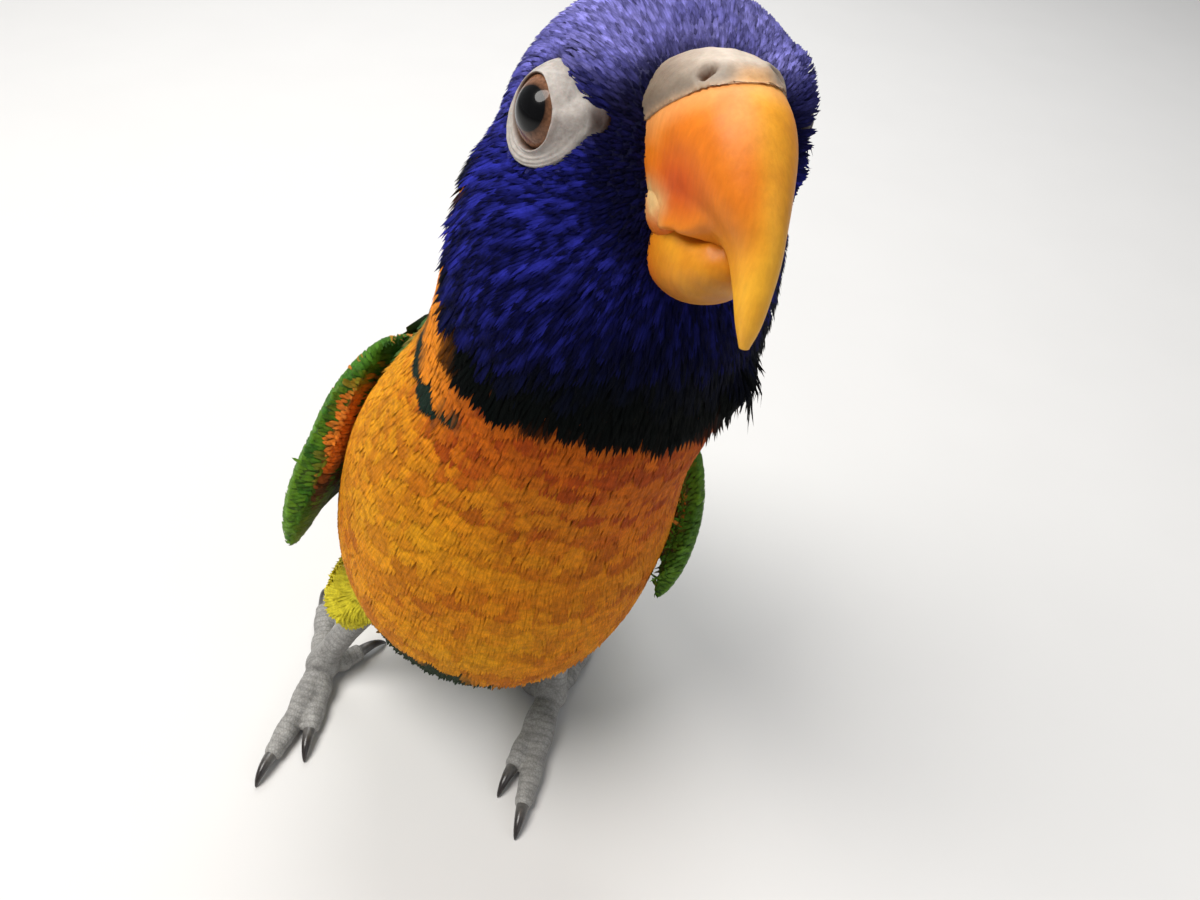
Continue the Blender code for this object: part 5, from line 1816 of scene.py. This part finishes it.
def tube(name, points, radii, sides):
    """A tapered round rod with rounded ends, from a bevelled curve."""
    deselect()
    curve = bpy.data.curves.new(name, "CURVE")
    curve.dimensions, curve.bevel_depth, curve.bevel_resolution = "3D", MM, sides
    curve.use_fill_caps = True
    line = curve.splines.new("POLY")
    line.points.add(len(points) - 1)
    for spot, point, radius in zip(line.points, points, radii):
        spot.co, spot.radius = (*world(point), 1), radius
    choose(added(name, curve))
    bpy.ops.object.convert(target="MESH")
    return bpy.context.object


def scale_finish():
    """Scaly grey skin of the feet: small plates with pale rims and darker creases."""
    made = Finish("foot_scales", Roughness=0.55, Specular_IOR_Level=0.4)
    base = made.attribute("Tint")
    mapping = made.stretched((1, 1, 1))
    cells = made.node("ShaderNodeTexVoronoi", feature="DISTANCE_TO_EDGE")
    cells.inputs["Scale"].default_value = 1500.0
    made.link(mapping, "Vector", cells, "Vector")
    crease = made.ramp(cells, "Distance", (0.0, (0.68, 0.67, 0.66)), (0.12, 0.96), (0.5, 1.08))
    dust = made.noise(420.0, 5.0, 0.65)
    light = made.ramp(dust, "Fac", (0.3, (0.78, 0.77, 0.76)), (0.7, 1.15))
    made.colour_from(made.times(made.times(base, "Color", crease, 0.8), 2, light))
    flat = made.range(cells, "Distance", 0.0, 0.16, 0.0, 1.0)
    made.dent(flat, "Result", 0.00012, 0.6)
    return made.material


def claw_finish():
    """Dark horn of the claws, paler at the root, with a fine grain."""
    return grained("claw_horn", (900.0, 4.0, 0.6), [(0.3, 0.6), (0.7, (1.5, 1.45, 1.4))], (0.00008, 0.6),
                   Roughness=0.32, Coat_Weight=0.2, Coat_Roughness=0.2)


def make_leg(side_name, scales):
    joints = {name: Vector(place) for name, place in LEGS[side_name].items()}
    heel, hub = joints["heel"], joints["hub"]
    rods = [tube("rod", [heel + (heel - hub) * 0.3, heel, heel.lerp(hub, 0.35), heel.lerp(hub, 0.7), hub],
                 [3.0, 3.5, 2.9, 2.8, 3.5], 5)]
    bpy.ops.mesh.primitive_uv_sphere_add(segments=32, ring_count=20, radius=3.9 * MM,
                                         location=world(hub - Vector((0, 0, 1.3))))
    rods.append(bpy.context.object)
    lines = {}
    for toe, (angle, reach) in TOES[side_name].items():
        way, points = toe_line(hub, angle, reach)
        rows = spline([(*point, radius) for point, radius in zip(points, TOE_RADII)], 26)
        share = stretch(26)
        knuckles = 1 + 0.075 * np.cos(share * math.pi * (6 if reach > 15 else 4))
        radii = rows[:, 3] * knuckles * np.interp(share, [0, 0.93, 1], [1, 1, 0.72])
        rods.append(tube("rod", [Vector(row) for row in rows[:, :3]], radii, 5))
        lines[toe] = (way, np.array(rows[:, :3]))
    leg = named(joined(rods), side_name + "_leg")
    place_in_mesh(leg)
    smoothed(leg, 5, LEG_VOXEL)
    press_plates(leg, heel, hub, lines)
    finish(leg, scales, "foot_grey", side_name + "_shank", side_name + "_foot")


def press_plates(leg, heel, hub, lines):
    """Broad plates across the top of each toe and down the front of the shank, pressed into the mesh."""
    places, normals = places_of(leg), normals_of(leg)
    press = np.zeros(len(places))
    for way, line in lines.values():
        way = np.array(way)
        start = line[0]
        along = (places - start) @ way
        side = np.abs((places - start) @ np.array((-way[1], way[0], 0.0)))
        reach = (line[-1] - start) @ way
        inside = (along > 1.5) & (along < reach + 1.5) & (side < 3.2)
        top = ease(0.05, 0.45, normals[:, 2])
        press = np.where(inside, np.maximum(press, groove(along / FOOT_PLATE) * top), press)
    shank = np.array(hub - heel)
    share = ((places - np.array(heel)) @ shank) / (shank @ shank)
    front = ease(0.1, 0.5, -normals[:, 1]) * (share < 0.85) * (places[:, 2] > 7.0)
    press = np.maximum(press, groove(share * SHANK_PLATES) * front)
    places = places - normals * (press * 0.1 - 0.02)[:, None]
    places[:, 2] = np.maximum(places[:, 2], 0.0)
    move_to(leg, places)
    tone = 1 - 0.26 * press + 0.12 * waves(places, 3.0, 51)
    # painted shade: the undersides of the shank and toes painted darker, as shade from the light above
    under = ease(0.2, -0.6, normals[:, 2])
    tint(leg, mix(shade("foot") * tone[:, None], shade("foot") * (0.62, 0.58, 0.56), under))


def groove(plates):
    """How near a place lies to the end of its plate, counted in plates, from 0 to 1."""
    phase = plates % 1.0
    return hump(np.minimum(phase, 1 - phase), 0.13)


def make_claws(side_name, horn):
    hub = Vector(LEGS[side_name]["hub"])
    made, nodes = [], []
    for toe, (angle, reach) in TOES[side_name].items():
        way, points = toe_line(hub, angle, reach)
        tip = points[-1]
        spots, radii = [tip - way * 0.9], [CLAW_RADIUS]
        for k in range(1, CLAW_STEPS + 1):
            share = k / CLAW_STEPS
            bend = math.radians(20 - 78 * share)
            step = way * math.cos(bend) + Vector((0, 0, math.sin(bend)))
            spots.append(spots[-1] + step * (CLAW_LENGTH / CLAW_STEPS))
            radii.append(CLAW_RADIUS * (1 - share) ** 0.7 + 0.1 * share)
        lowest = min(spot.z - radius for spot, radius in zip(spots, radii))
        if lowest < 0.05:
            spots = [spot + Vector((0, 0, (0.05 - lowest) * k / CLAW_STEPS)) for k, spot in enumerate(spots)]
        made.append(tube("claw", spots, radii, 6))
        nodes.append(f"{side_name}_claw_{toe}")
    claws = named(joined(made), side_name + "_claws")
    places = places_of(claws)
    tips = np.array([toe_line(hub, angle, reach)[1][-1] for angle, reach in TOES[side_name].values()])
    near = size_of(places[:, None] - tips[None]).min(1)
    tint(claws, mix(shade("foot") * 0.35, shade("claw"), ease(0.8, 4.0, near)))
    finish(claws, horn, "claw_dark", *nodes)


class LORIKEET_OT_legs(bpy.types.Operator):
    """Scaly shanks and feet, with their claws"""
    bl_idname = "lorikeet.legs"
    bl_label = "Legs and claws"

    def execute(self, context):
        scales, horn = scale_finish(), claw_finish()
        for side_name in SIDES:
            make_leg(side_name, scales)
            make_claws(side_name, horn)
        return {"FINISHED"}


# ---- stage ----
def add_light(name, place, size, power, tone):
    data = bpy.data.lights.new("stage_" + name, "AREA")
    data.shape, data.size, data.energy, data.color = "DISK", size, power, tone
    lamp = added("stage_" + name, data)
    lamp.location = place
    lamp.rotation_euler = (Vector((0, 0, 0.08)) - Vector(place)).to_track_quat("-Z", "Y").to_euler()


def set_surroundings(context):
    air = bpy.data.worlds.new("stage_air")
    air.use_nodes = True
    air.node_tree.nodes["Background"].inputs["Color"].default_value = (0.86, 0.88, 0.92, 1)
    air.node_tree.nodes["Background"].inputs["Strength"].default_value = 0.28
    context.scene.world = air


def add_camera(context):
    data = bpy.data.cameras.new("stage_camera")
    data.sensor_width, data.lens = 36.0, 36.0 * CAMERA_FOCAL
    data.clip_start, data.clip_end = 0.01, 20.0
    camera = added("stage_camera", data)
    right, down, ahead = CAMERA_RIGHT, CAMERA_DOWN, CAMERA_AHEAD
    place = world(CAMERA_PLACE)
    rows = [(right[i], -down[i], -ahead[i], place[i]) for i in range(3)]
    camera.matrix_world = Matrix(rows + [(0, 0, 0, 1)])
    context.scene.camera = camera


class LORIKEET_OT_stage(bpy.types.Operator):
    """Pale floor, soft lights and the camera"""
    bl_idname = "lorikeet.stage"
    bl_label = "Stage"

    def execute(self, context):
        deselect()
        bpy.ops.mesh.primitive_plane_add(size=6.0, location=(0, 0, -0.0001))
        floor = bpy.context.object
        floor.name = "stage_floor"
        ground = Finish("stage_pale", Roughness=0.85, Specular_IOR_Level=0.2)
        grain = ground.noise(30.0, 3.0, 0.5)
        base = shade("floor")
        ground.colour_from(ground.ramp(grain, "Fac", (0.3, base * 0.985), (0.7, base)), "Color")
        floor.data.materials.append(ground.material)
        add_light("key", (-0.26, -0.2, 0.66), 0.4, 5.0, (1.0, 0.97, 0.93))
        add_light("fill", (0.65, -0.45, 0.4), 0.7, 1.0, (0.95, 0.97, 1.0))
        add_light("back", (-0.06, 0.42, 0.62), 0.5, 3.2, (1.0, 1.0, 1.0))
        context.scene.view_settings.view_transform = "Standard"
        set_surroundings(context)
        add_camera(context)
        return {"FINISHED"}


class LORIKEET_PT_panel(bpy.types.Panel):
    """Panel that lists the pieces of the bird"""
    bl_label = "Rainbow lorikeet"
    bl_idname = "LORIKEET_PT_panel"
    bl_space_type = "VIEW_3D"
    bl_region_type = "UI"
    bl_category = "Lorikeet"

    def draw(self, context):
        for group in (context.scene.lorikeet_sizes, context.scene.lorikeet_colours):
            box = self.layout.box()
            for name in group.bl_rna.properties.keys():
                if name not in ("rna_type", "name"):
                    box.prop(group, name)
        for step in STEPS:
            self.layout.operator(step.bl_idname)


STEPS = (LORIKEET_OT_skin, LORIKEET_OT_hood, LORIKEET_OT_breast, LORIKEET_OT_back, LORIKEET_OT_thighs,
         LORIKEET_OT_wings, LORIKEET_OT_tail, LORIKEET_OT_bill, LORIKEET_OT_eyes, LORIKEET_OT_legs,
         LORIKEET_OT_stage)
CLASSES = (LorikeetSizes, LorikeetColours, *STEPS, LORIKEET_PT_panel)
STORE, FINISHES = {}, {}

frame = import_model()
HOME = home()


def register():
    for made in CLASSES:
        bpy.utils.register_class(made)
    bpy.types.Scene.lorikeet_sizes = bpy.props.PointerProperty(type=LorikeetSizes)
    bpy.types.Scene.lorikeet_colours = bpy.props.PointerProperty(type=LorikeetColours)


def unregister():
    del bpy.types.Scene.lorikeet_colours
    del bpy.types.Scene.lorikeet_sizes
    for made in reversed(CLASSES):
        bpy.utils.unregister_class(made)


def main():
    register()
    FINISHES.update(hood=plumage("hood_feather", 30.0, 0.68, 0.0, 0.05),
                    breast=plumage("breast_feather", 34.0, 0.7, 0.02, 0.06),
                    back=plumage("back_feather", 60.0, 0.55, 0.03),
                    wing=plumage("wing_feather", 90.0, 0.5, 0.03, 0.18))
    for step in STEPS:
        group, name = step.bl_idname.split(".")
        getattr(getattr(bpy.ops, group), name)()


if __name__ == "__main__":
    main()
